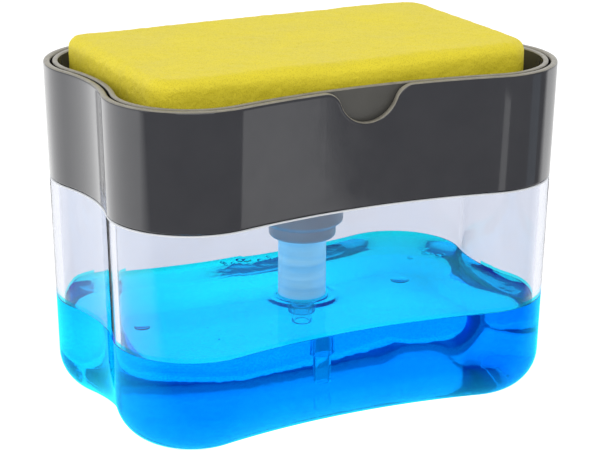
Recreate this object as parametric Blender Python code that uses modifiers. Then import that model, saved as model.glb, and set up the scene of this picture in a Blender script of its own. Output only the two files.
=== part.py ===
"""A dish soap dispenser: pressing the tray that holds the sponge pumps soap up through its middle.

A clear tank holds the soap. A dark grey collar sits on the tank and carries a pump under its deck.
The tray rests on the pump's stem, inside the collar, and holds the sponge. Metres, +Z up. The origin
is at the middle of the tank's foot, and the side with the finger notch faces -Y.
"""

import math

import bmesh
import bpy

# Whole object: a box whose four sides are drawn in and lean inward on the way down
LENGTH = 0.155
WIDTH = 0.102
RIM_HEIGHT = 0.112
CORNER_RADIUS = 0.0273
SIDE_WAIST = 0.0054
END_WAIST = 0.0035
LEAN_SHARE = 0.028

# Fits between pieces
GAP = 0.0003
RUNNING_GAP = 0.0006
OVERRUN = 0.002

# Tray
STROKE = 0.010
TRAY_WALL = 0.0018
TRAY_SIDE_GAP = 0.0007
TRAY_DEPTH = 0.0165
TRAY_FLOOR = 0.002
TRAY_FILLET = 0.003
TRAY_RIM_ROUND = 0.0006
RIB_HEIGHT = 0.0012
RIB_WIDTH = 0.0016
RIB_END_GAP = 0.012
RIB_PAIRS = 4
OUTLET_RADIUS = 0.002
OUTLET_RING_WALL = 0.0026
BOSS_WALL = 0.0016
BOSS_LENGTH = 0.014

# Sponge, which lies a little to the left in the tray
SPONGE_HEIGHT = 0.022
SPONGE_END_GAP = 0.0027
SPONGE_SIDE_GAP = 0.0022
SPONGE_LEFTWARD = 0.001
SPONGE_CORNER = 0.010
SPONGE_EDGE = 0.004

# Collar, with its deck, the neck under it and the finger notch
COLLAR_WALL = 0.0022
COLLAR_RIM_ROUND = 0.0008
COLLAR_FILLET = 0.002
DECK_THICKNESS = 0.0024
LIP_HEIGHT = 0.0063
NECK_WALL = 0.0018
NOTCH_RADIUS = 0.0103
NOTCH_DEPTH = 0.0108
NOTCH_SHOULDER = 0.0062

# Tank and soap
TANK_WALL = 0.0026
TANK_FLOOR = 0.003
TANK_LIP = 0.0012
FOOT_FILLET = 0.0133
SOAP_HEIGHT = 0.0315

# Pump: fixed pieces
GASKET_THICKNESS = 0.0012
FLANGE_THICKNESS = 0.0018
BORE_RADIUS = 0.0066
HOUSING_WALL = 0.0014
NIPPLE_WALL = 0.0009
CLOSURE_WALL = 0.0017
CLOSURE_FLOOR = 0.002
CLOSURE_CHAMFER = 0.0011
SPOUT_HEIGHT = 0.0041
SPOUT_WALL = 0.00285
GUIDE_WALL = 0.0014
GUIDE_FLOOR = 0.0016
DIP_TUBE_RADIUS = 0.0034
DIP_TUBE_WALL = 0.001
DIP_TUBE_CLEARANCE = 0.0025

# Pump: the plunger, its spring and the two ball valves
STEM_RADIUS = 0.0035
STEM_WALL = 0.0017
HEAD_WALL = 0.0018
HEAD_SOCKET = 0.006
PISTON_HEIGHT = 0.007
PISTON_FLANGE = 0.0012
PISTON_HUB_WALL = 0.0011
SEAL_WALL = 0.0006
SPRING_WIRE = 0.0009
SPRING_RADIUS = 0.0052
SPRING_TURNS = 8
THROAT_LENGTH = 0.0015
CAGE_THICKNESS = 0.0012
CAGE_RECESS = 0.0004
CAGE_LEDGE = 0.0012
CAGE_HOLES = 4
INLET_BALL_RADIUS = 0.0026
INLET_BALL_LIFT = 0.0015
OUTLET_BALL_RADIUS = 0.0022
OUTLET_BALL_LIFT = 0.0012
BALL_SIDE_GAP = 0.0006

# Shares of the ball's radius: its throat, and the circle and size of the holes in its cage
THROAT_SHARE = 0.6
CAGE_CIRCLE_SHARE = 0.72
CAGE_HOLE_SHARE = 0.3

# Shares of the tank's spare depth: the neck, the spring and the dip tube's socket, with the rest left
# to the bare stretch of the dip tube
NECK_SHARE = 0.21
SPRING_SHARE = 0.12
SOCKET_SHARE = 0.3

# Facets
END_STEPS = 2
CORNER_STEPS = 8
SIDE_STEPS = 3
FILLET_STEPS = 4
ROUND_STEPS = 2
TURN_STEPS = 28
SMALL_STEPS = 16
SPRING_STEPS = 9


def lean(height):
    """How far the outer wall has drawn in at a height."""
    return LEAN_SHARE * (RIM_HEIGHT - height)


def tray_side(height):
    """Inset of the tray's outer wall, which follows the collar's inside."""
    return lean(height) + COLLAR_WALL + TRAY_SIDE_GAP


def ball_valve(ball_radius, lift):
    """Throat radius of a ball valve, with the drop from its cage to the ball's centre and to the 45 degree seat."""
    throat = THROAT_SHARE * ball_radius
    centre = lift + ball_radius
    return throat, centre, centre + (ball_radius + GAP) * math.sqrt(2) - throat


INLET_THROAT, INLET_CENTRE_DROP, INLET_SEAT_DROP = ball_valve(INLET_BALL_RADIUS, INLET_BALL_LIFT)
OUTLET_THROAT, OUTLET_CENTRE_DROP, OUTLET_SEAT_DROP = ball_valve(OUTLET_BALL_RADIUS, OUTLET_BALL_LIFT)

# Heights from the rim down to the stem's head
TRAY_FLOOR_TOP = RIM_HEIGHT - TRAY_DEPTH
SPONGE_BOTTOM = TRAY_FLOOR_TOP + RIB_HEIGHT + GAP
TRAY_UNDER = TRAY_FLOOR_TOP - TRAY_FLOOR
DECK_TOP = TRAY_UNDER - STROKE - RUNNING_GAP
DECK_UNDER = DECK_TOP - DECK_THICKNESS
COLLAR_BOTTOM = DECK_UNDER - LIP_HEIGHT
TANK_SHOULDER = COLLAR_BOTTOM - GAP
TANK_TOP = DECK_UNDER - GAP
HEAD_TOP = TRAY_UNDER - GAP
OUTLET_CAGE_BOTTOM = HEAD_TOP - CAGE_RECESS - CAGE_THICKNESS
OUTLET_CENTRE = OUTLET_CAGE_BOTTOM - OUTLET_CENTRE_DROP
OUTLET_SEAT = OUTLET_CAGE_BOTTOM - OUTLET_SEAT_DROP
HEAD_SOCKET_TOP = OUTLET_SEAT - THROAT_LENGTH
HEAD_BOTTOM = HEAD_SOCKET_TOP - HEAD_SOCKET

# Depth under the pressed head that the pump has to have, and the spare depth that the tank leaves over
PRESSED_HEAD = HEAD_BOTTOM - STROKE - GAP
TUBE_END = TANK_FLOOR + DIP_TUBE_CLEARANCE
SPRING_ROOM = SPRING_TURNS * SPRING_WIRE + STROKE
INLET_DEPTH = CAGE_THICKNESS + INLET_SEAT_DROP + THROAT_LENGTH
PUMP_DEPTH = GUIDE_FLOOR + GAP + PISTON_HEIGHT + GAP + SPRING_ROOM + GAP + INLET_DEPTH
SPARE_DEPTH = PRESSED_HEAD - PUMP_DEPTH - TUBE_END

# Heights from the neck down to the dip tube
GUIDE_BOTTOM = PRESSED_HEAD - NECK_SHARE * SPARE_DEPTH - GUIDE_FLOOR
NECK_END = GUIDE_BOTTOM + GASKET_THICKNESS + GAP
GASKET_BOTTOM = NECK_END - GAP - GASKET_THICKNESS
FLANGE_TOP = GASKET_BOTTOM - GAP
FLANGE_BOTTOM = FLANGE_TOP - FLANGE_THICKNESS
CLOSURE_TOP = DECK_UNDER - GAP
CLOSURE_FLOOR_TOP = FLANGE_BOTTOM - GAP
SPOUT_TOP = CLOSURE_FLOOR_TOP - CLOSURE_FLOOR
CLOSURE_BOTTOM = SPOUT_TOP - SPOUT_HEIGHT
PISTON_BOTTOM = GUIDE_BOTTOM - GAP - PISTON_HEIGHT
SPRING_LENGTH = SPRING_ROOM + SPRING_SHARE * SPARE_DEPTH
SPRING_BOTTOM = PISTON_BOTTOM - GAP - SPRING_LENGTH
INLET_CAGE_BOTTOM = SPRING_BOTTOM - GAP - CAGE_THICKNESS
BORE_FLOOR = INLET_CAGE_BOTTOM - GAP
INLET_CENTRE = INLET_CAGE_BOTTOM - INLET_CENTRE_DROP
INLET_SEAT = INLET_CAGE_BOTTOM - INLET_SEAT_DROP
DIP_SOCKET_TOP = INLET_SEAT - THROAT_LENGTH
NIPPLE_BOTTOM = DIP_SOCKET_TOP - SOCKET_SHARE * SPARE_DEPTH

# Radii, worked out from the stem outward
STEM_BORE = STEM_RADIUS - STEM_WALL
HEAD_RADIUS = STEM_RADIUS + GAP + HEAD_WALL
OUTLET_CHAMBER = OUTLET_BALL_RADIUS + BALL_SIDE_GAP
OUTLET_CAGE_RADIUS = OUTLET_CHAMBER + CAGE_LEDGE
BOSS_BORE = HEAD_RADIUS + GAP
BOSS_RADIUS = BOSS_BORE + BOSS_WALL
GUIDE_BORE = BOSS_RADIUS + RUNNING_GAP
GUIDE_RADIUS = GUIDE_BORE + GUIDE_WALL
NECK_BORE = GUIDE_RADIUS + GAP
NECK_RADIUS = NECK_BORE + NECK_WALL
CLOSURE_BORE = NECK_RADIUS + GAP
CLOSURE_RADIUS = CLOSURE_BORE + CLOSURE_WALL
HOUSING_RADIUS = BORE_RADIUS + HOUSING_WALL
SPOUT_BORE = HOUSING_RADIUS + GAP
SPOUT_RADIUS = SPOUT_BORE + SPOUT_WALL
INLET_CHAMBER = INLET_BALL_RADIUS + BALL_SIDE_GAP
DIP_SOCKET_RADIUS = DIP_TUBE_RADIUS + GAP
NIPPLE_RADIUS = max(INLET_CHAMBER, DIP_SOCKET_RADIUS) + NIPPLE_WALL
COLLAR_LIP = TANK_WALL - TANK_LIP - GAP


def clear_scene():
    """Empties the scene and makes one collection for the parts and one for the cutters."""
    for old in list(bpy.data.objects):
        bpy.data.objects.remove(old, do_unlink=True)
    collections = []
    for name in ("dish_soap_dispenser", "cutters"):
        collection = bpy.data.collections.new(name)
        bpy.context.scene.collection.children.link(collection)
        collections.append(collection)
    return collections


def plain_look(name, colour, roughness, metallic=0.0, alpha=1.0):
    """A Principled material with the piece's own colour and finish."""
    look = bpy.data.materials.new(name)
    look.use_nodes = True
    shader = look.node_tree.nodes["Principled BSDF"]
    shader.inputs["Base Color"].default_value = (*colour, 1.0)
    shader.inputs["Roughness"].default_value = roughness
    shader.inputs["Metallic"].default_value = metallic
    shader.inputs["Alpha"].default_value = alpha
    look.diffuse_color = (*colour, alpha)
    return look


def body_axis(name, height, parent=None):
    """An empty on the vertical axis that the pieces of one moving body hang from."""
    axis = bpy.data.objects.new(name, None)
    axis.empty_display_size = CORNER_RADIUS
    PARTS.objects.link(axis)
    hang(axis, parent, height)
    return axis


def hang(item, parent, height):
    """Puts an object on the vertical axis at a height, under its parent."""
    item["height"] = height
    item.parent = parent
    item.location.z = height - (parent["height"] if parent else 0)


def add_part(name, shape, look, parent, height):
    """Adds one piece of the object."""
    part = bpy.data.objects.new(name, shape)
    PARTS.objects.link(part)
    shape.materials.append(look)
    hang(part, parent, height)
    return part


def add_cutter(name, shape, parent, height):
    """Adds a hidden shape that a Boolean cuts or joins with."""
    cutter = bpy.data.objects.new(name, shape)
    CUTTERS.objects.link(cutter)
    cutter.hide_render = True
    cutter.display_type = "WIRE"
    hang(cutter, parent, height)
    return cutter


def combine(part, other, operation):
    """Cuts a part with another shape, or joins them."""
    step = part.modifiers.new(other.name, "BOOLEAN")
    step.object = other
    step.operation = operation
    step.solver = "EXACT"


def finish_mesh(shape, name):
    """A mesh from a finished bmesh, with its faces turned outward and its round sides smooth."""
    bmesh.ops.recalc_face_normals(shape, faces=shape.faces)
    mesh = bpy.data.meshes.new(name)
    shape.to_mesh(mesh)
    shape.free()
    mesh.shade_smooth()
    mesh.set_sharp_from_angle(angle=math.radians(35))
    return mesh


def outline(inset):
    """Plan outline of the waisted box, drawn in by an inset, anticlockwise from the right end's middle.

    Each corner is one round arc. The hollow arcs of the ends and the long sides meet it without a kink,
    and drawing the outline in keeps the arcs' centres.
    """
    corner_x = LENGTH / 2 - CORNER_RADIUS
    corner_y = WIDTH / 2 - CORNER_RADIUS
    side = WIDTH / 2 - SIDE_WAIST
    end = LENGTH / 2 - END_WAIST
    side_radius = (corner_x**2 + (side - corner_y) ** 2 - CORNER_RADIUS**2) / (2 * SIDE_WAIST)
    end_radius = (corner_y**2 + (end - corner_x) ** 2 - CORNER_RADIUS**2) / (2 * END_WAIST)
    side_centre = side + side_radius
    end_centre = end + end_radius
    end_angle = math.atan2(corner_y, corner_x - end_centre)
    side_angle = math.atan2(corner_y - side_centre, corner_x)
    arcs = (
        (end_centre, 0, end_radius + inset, math.pi, end_angle, END_STEPS),
        (corner_x, corner_y, CORNER_RADIUS - inset, end_angle - math.pi, side_angle + math.pi, CORNER_STEPS),
        (0, side_centre, side_radius + inset, side_angle, -math.pi / 2, SIDE_STEPS),
    )
    quarter = []
    for centre_x, centre_y, radius, start, stop, steps in arcs:
        for step in range(steps):
            angle = start + (stop - start) * step / steps
            quarter.append((centre_x + radius * math.cos(angle), centre_y + radius * math.sin(angle)))
    half = quarter + [(0, side - inset)] + [(-x, y) for x, y in reversed(quarter)]
    return half + [(x, -y) for x, y in reversed(half[1:-1])]


def arc(centre_inset, centre_height, radius, start, stop, steps):
    """Round stretch of a wall's section, as insets and heights. Angle 0 points into the object."""
    angles = [math.radians(start + (stop - start) * step / steps) for step in range(steps + 1)]
    return [(centre_inset + radius * math.cos(a), centre_height + radius * math.sin(a)) for a in angles]


def rim_section(outer, wall, rounding):
    """The rounded top edge of a wall, from its outer side over to its inner side."""
    height = RIM_HEIGHT - rounding
    over = arc(outer(height) + rounding, height, rounding, 180, 90, ROUND_STEPS)
    return over + arc(outer(height) + wall - rounding, height, rounding, 90, 0, ROUND_STEPS)


def wall_shape(name, section, base):
    """A shell that follows the plan outline: a loft through one ring for each point of its section."""
    shape = bmesh.new()
    rings = []
    for inset, height in section:
        rings.append([shape.verts.new((x, y, height - base)) for x, y in outline(inset)])
    for low, high in zip(rings, rings[1:]):
        for k in range(len(low)):
            shape.faces.new((low[k - 1], low[k], high[k], high[k - 1]))
    shape.faces.new(rings[0])
    shape.faces.new(rings[-1])
    return finish_mesh(shape, name)


def turned(name, profile, steps, look, parent, base):
    """A turned piece: its profile, down the outside and up the inside, spun by a Screw."""
    mesh = bpy.data.meshes.new(name)
    verts = [(radius, 0, height - base) for radius, height in profile]
    edges = [(k, (k + 1) % len(verts)) for k in range(len(verts))]
    mesh.from_pydata(verts, edges, [])
    part = add_part(name, mesh, look, parent, base)
    spin = part.modifiers.new("spin", "SCREW")
    spin.steps = steps
    spin.render_steps = steps
    spin.use_merge_vertices = True
    spin.merge_threshold = 0.00001
    spin.use_smooth_shade = True
    return part


def cylinder_shape(name, radius, low, high, steps, centres=((0, 0),)):
    """One or more upright cylinders between two heights, as a mesh whose base is the low one."""
    shape = bmesh.new()
    for x, y in centres:
        made = bmesh.ops.create_cone(
            shape, cap_ends=True, segments=steps, radius1=radius, radius2=radius, depth=high - low
        )
        bmesh.ops.translate(shape, verts=made["verts"], vec=(x, y, (high - low) / 2))
    return finish_mesh(shape, name)


def ball(name, radius, look, parent, centre):
    """A check ball."""
    shape = bmesh.new()
    bmesh.ops.create_uvsphere(shape, u_segments=SMALL_STEPS, v_segments=SMALL_STEPS // 2, radius=radius)
    return add_part(name, finish_mesh(shape, name), look, parent, centre)


def cage(name, radius, ball_radius, look, parent, base):
    """A disc with a ring of holes, which keeps a check ball in its chamber."""
    top = base + CAGE_THICKNESS
    part = add_part(name, cylinder_shape(name, radius, base, top, TURN_STEPS), look, parent, base)
    circle = CAGE_CIRCLE_SHARE * ball_radius
    turns = [math.tau * (k + 1 / 2) / CAGE_HOLES for k in range(CAGE_HOLES)]
    centres = [(circle * math.cos(turn), circle * math.sin(turn)) for turn in turns]
    hole = CAGE_HOLE_SHARE * ball_radius
    shape = cylinder_shape(name + "_holes", hole, base - OVERRUN, top + OVERRUN, SMALL_STEPS, centres)
    combine(part, add_cutter(name + "_holes", shape, parent, base - OVERRUN), "DIFFERENCE")
    return part


def flat_plate(name, points, thickness, edge=0.0):
    """A mesh from a flat closed outline, filled and thickened about its plane, with its edges rounded."""
    curve = bpy.data.curves.new(name, "CURVE")
    curve.dimensions = "2D"
    curve.fill_mode = "BOTH"
    curve.extrude = thickness / 2 - edge
    curve.bevel_depth = edge
    curve.bevel_resolution = 1
    curve.offset = -edge
    spline = curve.splines.new("POLY")
    spline.points.add(len(points) - 1)
    for point, (x, y) in zip(spline.points, points):
        point.co = (x, y, 0, 1)
    spline.use_cyclic_u = True
    source = bpy.data.objects.new(name, curve)
    CUTTERS.objects.link(source)
    made = bpy.data.meshes.new_from_object(source.evaluated_get(bpy.context.evaluated_depsgraph_get()))
    bpy.data.objects.remove(source, do_unlink=True)
    shape = bmesh.new()
    shape.from_mesh(made)
    bpy.data.meshes.remove(made)
    bmesh.ops.remove_doubles(shape, verts=shape.verts, dist=0.00001)
    return finish_mesh(shape, name)


def make_tank(parent):
    """Clear tank: foot, rounded bottom edge, leaning wall and the thin lip that stands in the collar."""
    fillet = min(FOOT_FILLET, CORNER_RADIUS - lean(0) - TANK_WALL)
    inner = fillet - TANK_WALL
    section = arc(lean(fillet) + fillet, fillet, fillet, 270, 180, FILLET_STEPS)
    lip = lean(TANK_SHOULDER) + TANK_WALL - TANK_LIP
    section += [(lean(TANK_SHOULDER), TANK_SHOULDER), (lip, TANK_SHOULDER), (lip, TANK_TOP)]
    section += [(lean(TANK_TOP) + TANK_WALL, TANK_TOP)]
    turn = TANK_FLOOR + inner
    section += arc(lean(turn) + TANK_WALL + inner, turn, inner, 180, 270, FILLET_STEPS)
    look = plain_look("clear_plastic", (0.86, 0.9, 0.95), 0.05, alpha=0.3)
    add_part("tank", wall_shape("tank", section, 0), look, parent, 0)


def make_soap(parent):
    """The soap, clear of the tank and of the pump that stands in it."""
    base = TANK_FLOOR + GAP
    fillet = min(FOOT_FILLET, CORNER_RADIUS - lean(0) - TANK_WALL) - TANK_WALL
    side = lean(base + fillet) + TANK_WALL + GAP
    section = arc(side + fillet, base + fillet, fillet, 270, 180, FILLET_STEPS)
    section += [(lean(SOAP_HEIGHT) + TANK_WALL + GAP, SOAP_HEIGHT)]
    look = plain_look("blue_soap", (0.0, 0.35, 0.9), 0.1, alpha=0.7)
    soap = add_part("liquid_soap", wall_shape("liquid_soap", section, base), look, parent, base)
    for name, radius, low in (
        ("soap_tube_room", DIP_TUBE_RADIUS, TUBE_END),
        ("soap_nipple_room", NIPPLE_RADIUS, NIPPLE_BOTTOM),
        ("soap_housing_room", HOUSING_RADIUS, BORE_FLOOR - HOUSING_WALL),
    ):
        if low - GAP < SOAP_HEIGHT:
            room = cylinder_shape(name, radius + GAP, low - GAP, SOAP_HEIGHT + OVERRUN, TURN_STEPS)
            combine(soap, add_cutter(name, room, parent, low - GAP), "DIFFERENCE")


def notch_outline():
    """The finger notch: a round bottom whose ends turn over into the rim by two shoulder arcs."""
    centre = RIM_HEIGHT - NOTCH_DEPTH + NOTCH_RADIUS
    shoulder = RIM_HEIGHT - NOTCH_SHOULDER
    reach = math.sqrt((NOTCH_RADIUS + NOTCH_SHOULDER) ** 2 - (shoulder - centre) ** 2)
    turn = math.atan2(shoulder - centre, reach)
    half = []
    for step in range(CORNER_STEPS + 1):
        angle = -math.pi / 2 + (turn + math.pi / 2) * step / CORNER_STEPS
        half.append((NOTCH_RADIUS * math.cos(angle), centre + NOTCH_RADIUS * math.sin(angle)))
    for step in range(1, CORNER_STEPS):
        angle = math.pi + turn + (-math.pi / 2 - turn) * step / CORNER_STEPS
        half.append((reach + NOTCH_SHOULDER * math.cos(angle), shoulder + NOTCH_SHOULDER * math.sin(angle)))
    half += [(reach, RIM_HEIGHT), (reach, RIM_HEIGHT + OVERRUN)]
    return [(-x, z) for x, z in reversed(half)] + half[1:]


def make_collar(parent):
    """Grey collar: its wall, the lip over the tank, the deck, the neck for the pump and the notch."""
    lip = lean(COLLAR_BOTTOM) + COLLAR_LIP
    section = [(lip, DECK_UNDER), (lip, COLLAR_BOTTOM), (lean(COLLAR_BOTTOM), COLLAR_BOTTOM)]
    section += rim_section(lean, COLLAR_WALL, COLLAR_RIM_ROUND)
    corner = DECK_TOP + COLLAR_FILLET
    section += arc(lean(corner) + COLLAR_WALL + COLLAR_FILLET, corner, COLLAR_FILLET, 180, 270, ROUND_STEPS)
    look = plain_look("grey_plastic", (0.055, 0.055, 0.06), 0.25)
    collar = add_part("collar", wall_shape("collar", section, COLLAR_BOTTOM), look, parent, COLLAR_BOTTOM)
    deck_middle = DECK_UNDER + DECK_THICKNESS / 2
    neck = cylinder_shape("neck_blank", NECK_RADIUS, NECK_END, deck_middle, TURN_STEPS)
    combine(collar, add_cutter("neck_blank", neck, parent, NECK_END), "UNION")
    bore = cylinder_shape("neck_bore", NECK_BORE, NECK_END - OVERRUN, DECK_TOP + OVERRUN, TURN_STEPS)
    combine(collar, add_cutter("neck_bore", bore, parent, NECK_END - OVERRUN), "DIFFERENCE")
    notch = flat_plate("finger_notch", notch_outline(), WIDTH / 2)
    cutter = add_cutter("finger_notch", notch, parent, 0)
    cutter.rotation_euler.x = math.pi / 2
    cutter.location.y = -WIDTH / 2
    combine(collar, cutter, "DIFFERENCE")


def make_closure(parent):
    """Grey screw ring: it holds the housing's flange up against the neck."""
    chamfer = CLOSURE_FLOOR_TOP - CLOSURE_CHAMFER / 2
    profile = [
        (CLOSURE_RADIUS, CLOSURE_TOP),
        (CLOSURE_RADIUS, chamfer),
        (SPOUT_RADIUS + CLOSURE_CHAMFER / 2, SPOUT_TOP),
        (SPOUT_RADIUS, SPOUT_TOP),
        (SPOUT_RADIUS, CLOSURE_BOTTOM + CLOSURE_CHAMFER),
        (SPOUT_RADIUS - CLOSURE_CHAMFER, CLOSURE_BOTTOM),
        (SPOUT_BORE, CLOSURE_BOTTOM),
        (SPOUT_BORE, CLOSURE_FLOOR_TOP),
        (CLOSURE_BORE, CLOSURE_FLOOR_TOP),
        (CLOSURE_BORE, CLOSURE_TOP),
    ]
    look = plain_look("closure_plastic", (0.12, 0.13, 0.15), 0.35)
    turned("pump_closure", profile, TURN_STEPS, look, parent, CLOSURE_BOTTOM)


def make_gasket(parent):
    """Sealing ring between the neck's end and the housing's flange."""
    top = GASKET_BOTTOM + GASKET_THICKNESS
    outside = [(NECK_RADIUS, top), (NECK_RADIUS, GASKET_BOTTOM)]
    profile = outside + [(NECK_BORE, GASKET_BOTTOM), (NECK_BORE, top)]
    look = plain_look("gasket_rubber", (0.6, 0.6, 0.58), 0.7)
    turned("closure_gasket", profile, TURN_STEPS, look, parent, GASKET_BOTTOM)


def make_housing(parent):
    """Pump cylinder: flange, bore, the inlet ball's chamber and seat, and the dip tube's socket."""
    shoulder = BORE_FLOOR - HOUSING_WALL
    profile = [
        (NECK_RADIUS, FLANGE_TOP),
        (NECK_RADIUS, FLANGE_BOTTOM),
        (HOUSING_RADIUS, FLANGE_BOTTOM),
        (HOUSING_RADIUS, BORE_FLOOR),
        (HOUSING_RADIUS - HOUSING_WALL, shoulder),
        (NIPPLE_RADIUS, shoulder),
        (NIPPLE_RADIUS, NIPPLE_BOTTOM),
        (DIP_SOCKET_RADIUS, NIPPLE_BOTTOM),
        (DIP_SOCKET_RADIUS, DIP_SOCKET_TOP),
        (INLET_THROAT, DIP_SOCKET_TOP),
        (INLET_THROAT, INLET_SEAT),
        (INLET_CHAMBER, INLET_SEAT + INLET_CHAMBER - INLET_THROAT),
        (INLET_CHAMBER, BORE_FLOOR),
        (BORE_RADIUS, BORE_FLOOR),
        (BORE_RADIUS, FLANGE_TOP),
    ]
    look = plain_look("milky_plastic", (0.75, 0.82, 0.88), 0.35, alpha=0.7)
    turned("pump_housing", profile, TURN_STEPS, look, parent, NIPPLE_BOTTOM)


def make_guide(parent):
    """Cup in the neck: its floor guides the stem and stops the piston, its bore lets the boss down."""
    floor = GUIDE_BOTTOM + GUIDE_FLOOR
    hole = STEM_RADIUS + GAP
    profile = [
        (GUIDE_RADIUS, DECK_TOP),
        (GUIDE_RADIUS, GUIDE_BOTTOM),
        (hole, GUIDE_BOTTOM),
        (hole, floor),
        (GUIDE_BORE, floor),
        (GUIDE_BORE, DECK_TOP),
    ]
    look = plain_look("guide_plastic", (0.7, 0.72, 0.74), 0.4)
    turned("stem_guide", profile, TURN_STEPS, look, parent, GUIDE_BOTTOM)


def make_dip_tube(parent):
    """Tube from the housing's socket down to just above the tank's floor."""
    top = DIP_SOCKET_TOP - GAP
    bore = DIP_TUBE_RADIUS - DIP_TUBE_WALL
    profile = [(DIP_TUBE_RADIUS, top), (DIP_TUBE_RADIUS, TUBE_END), (bore, TUBE_END), (bore, top)]
    look = plain_look("tube_plastic", (0.8, 0.87, 0.93), 0.3, alpha=0.7)
    turned("dip_tube", profile, TURN_STEPS, look, parent, TUBE_END)


def make_spring(parent, steel):
    """Return spring between the inlet cage and the piston, wound as one open helix."""
    rise = SPRING_LENGTH - SPRING_WIRE
    count = SPRING_TURNS * SPRING_STEPS
    points = []
    for k in range(count + 1):
        turn = math.tau * k / SPRING_STEPS
        height = SPRING_WIRE / 2 + rise * k / count
        points.append((SPRING_RADIUS * math.cos(turn), SPRING_RADIUS * math.sin(turn), height))
    curve = bpy.data.curves.new("return_spring", "CURVE")
    curve.dimensions = "3D"
    curve.bevel_depth = SPRING_WIRE / 2
    curve.bevel_resolution = 1
    curve.use_fill_caps = True
    spline = curve.splines.new("POLY")
    spline.points.add(count)
    for point, place in zip(spline.points, points):
        point.co = (*place, 1)
    add_part("return_spring", curve, steel, parent, SPRING_BOTTOM)
    near = min(
        math.dist(points[k], points[j])
        for k in range(count)
        for j in range(k + SPRING_STEPS // 2, count + 1)
    )
    print(f"return_spring: least gap to itself {(near - SPRING_WIRE) * 1000:.2f} mm")


def make_plunger(parent, steel):
    """Stem, piston, soft seal and the head with the outlet valve: all that the tray pushes down."""
    grey = plain_look("plunger_plastic", (0.62, 0.64, 0.66), 0.4)
    soft = plain_look("seal_rubber", (0.85, 0.85, 0.83), 0.6)
    hub_bore = STEM_RADIUS + GAP
    hub = hub_bore + PISTON_HUB_WALL
    piston_top = PISTON_BOTTOM + PISTON_HEIGHT
    step = PISTON_BOTTOM + PISTON_FLANGE
    profile = [
        (hub + SEAL_WALL, piston_top),
        (hub + SEAL_WALL, piston_top - PISTON_FLANGE / 2),
        (hub, piston_top - PISTON_FLANGE / 2),
        (hub, step),
        (BORE_RADIUS - RUNNING_GAP, step),
        (BORE_RADIUS - RUNNING_GAP, PISTON_BOTTOM),
        (STEM_BORE, PISTON_BOTTOM),
        (STEM_BORE, step),
        (hub_bore, step),
        (hub_bore, piston_top),
    ]
    turned("piston", profile, TURN_STEPS, grey, parent, PISTON_BOTTOM)

    low = step + GAP
    high = piston_top - PISTON_FLANGE / 2 - GAP
    lip = (high - low) / 4
    sleeve = hub + GAP
    profile = [
        (BORE_RADIUS - GAP, high),
        (BORE_RADIUS - GAP, high - lip),
        (sleeve + SEAL_WALL, high - lip),
        (sleeve + SEAL_WALL, low + lip),
        (BORE_RADIUS - GAP, low + lip),
        (BORE_RADIUS - GAP, low),
        (sleeve, low),
        (sleeve, high),
    ]
    turned("piston_seal", profile, TURN_STEPS, soft, parent, low)

    top = HEAD_SOCKET_TOP - GAP
    bottom = step + GAP
    profile = [(STEM_RADIUS, top), (STEM_RADIUS, bottom), (STEM_BORE, bottom), (STEM_BORE, top)]
    turned("pump_stem", profile, TURN_STEPS, grey, parent, bottom)

    socket = STEM_RADIUS + GAP
    recess = OUTLET_CAGE_RADIUS + GAP
    ledge = OUTLET_CAGE_BOTTOM - GAP
    profile = [
        (HEAD_RADIUS, HEAD_TOP),
        (HEAD_RADIUS, HEAD_BOTTOM),
        (socket, HEAD_BOTTOM),
        (socket, HEAD_SOCKET_TOP),
        (OUTLET_THROAT, HEAD_SOCKET_TOP),
        (OUTLET_THROAT, OUTLET_SEAT),
        (OUTLET_CHAMBER, OUTLET_SEAT + OUTLET_CHAMBER - OUTLET_THROAT),
        (OUTLET_CHAMBER, ledge),
        (recess, ledge),
        (recess, HEAD_TOP),
    ]
    turned("stem_head", profile, TURN_STEPS, grey, parent, HEAD_BOTTOM)
    cage("outlet_cage", OUTLET_CAGE_RADIUS, OUTLET_BALL_RADIUS, grey, parent, OUTLET_CAGE_BOTTOM)
    axis = body_axis("outlet_ball_axis", OUTLET_CENTRE, parent)
    ball("outlet_ball", OUTLET_BALL_RADIUS, steel, axis, OUTLET_CENTRE)


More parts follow.
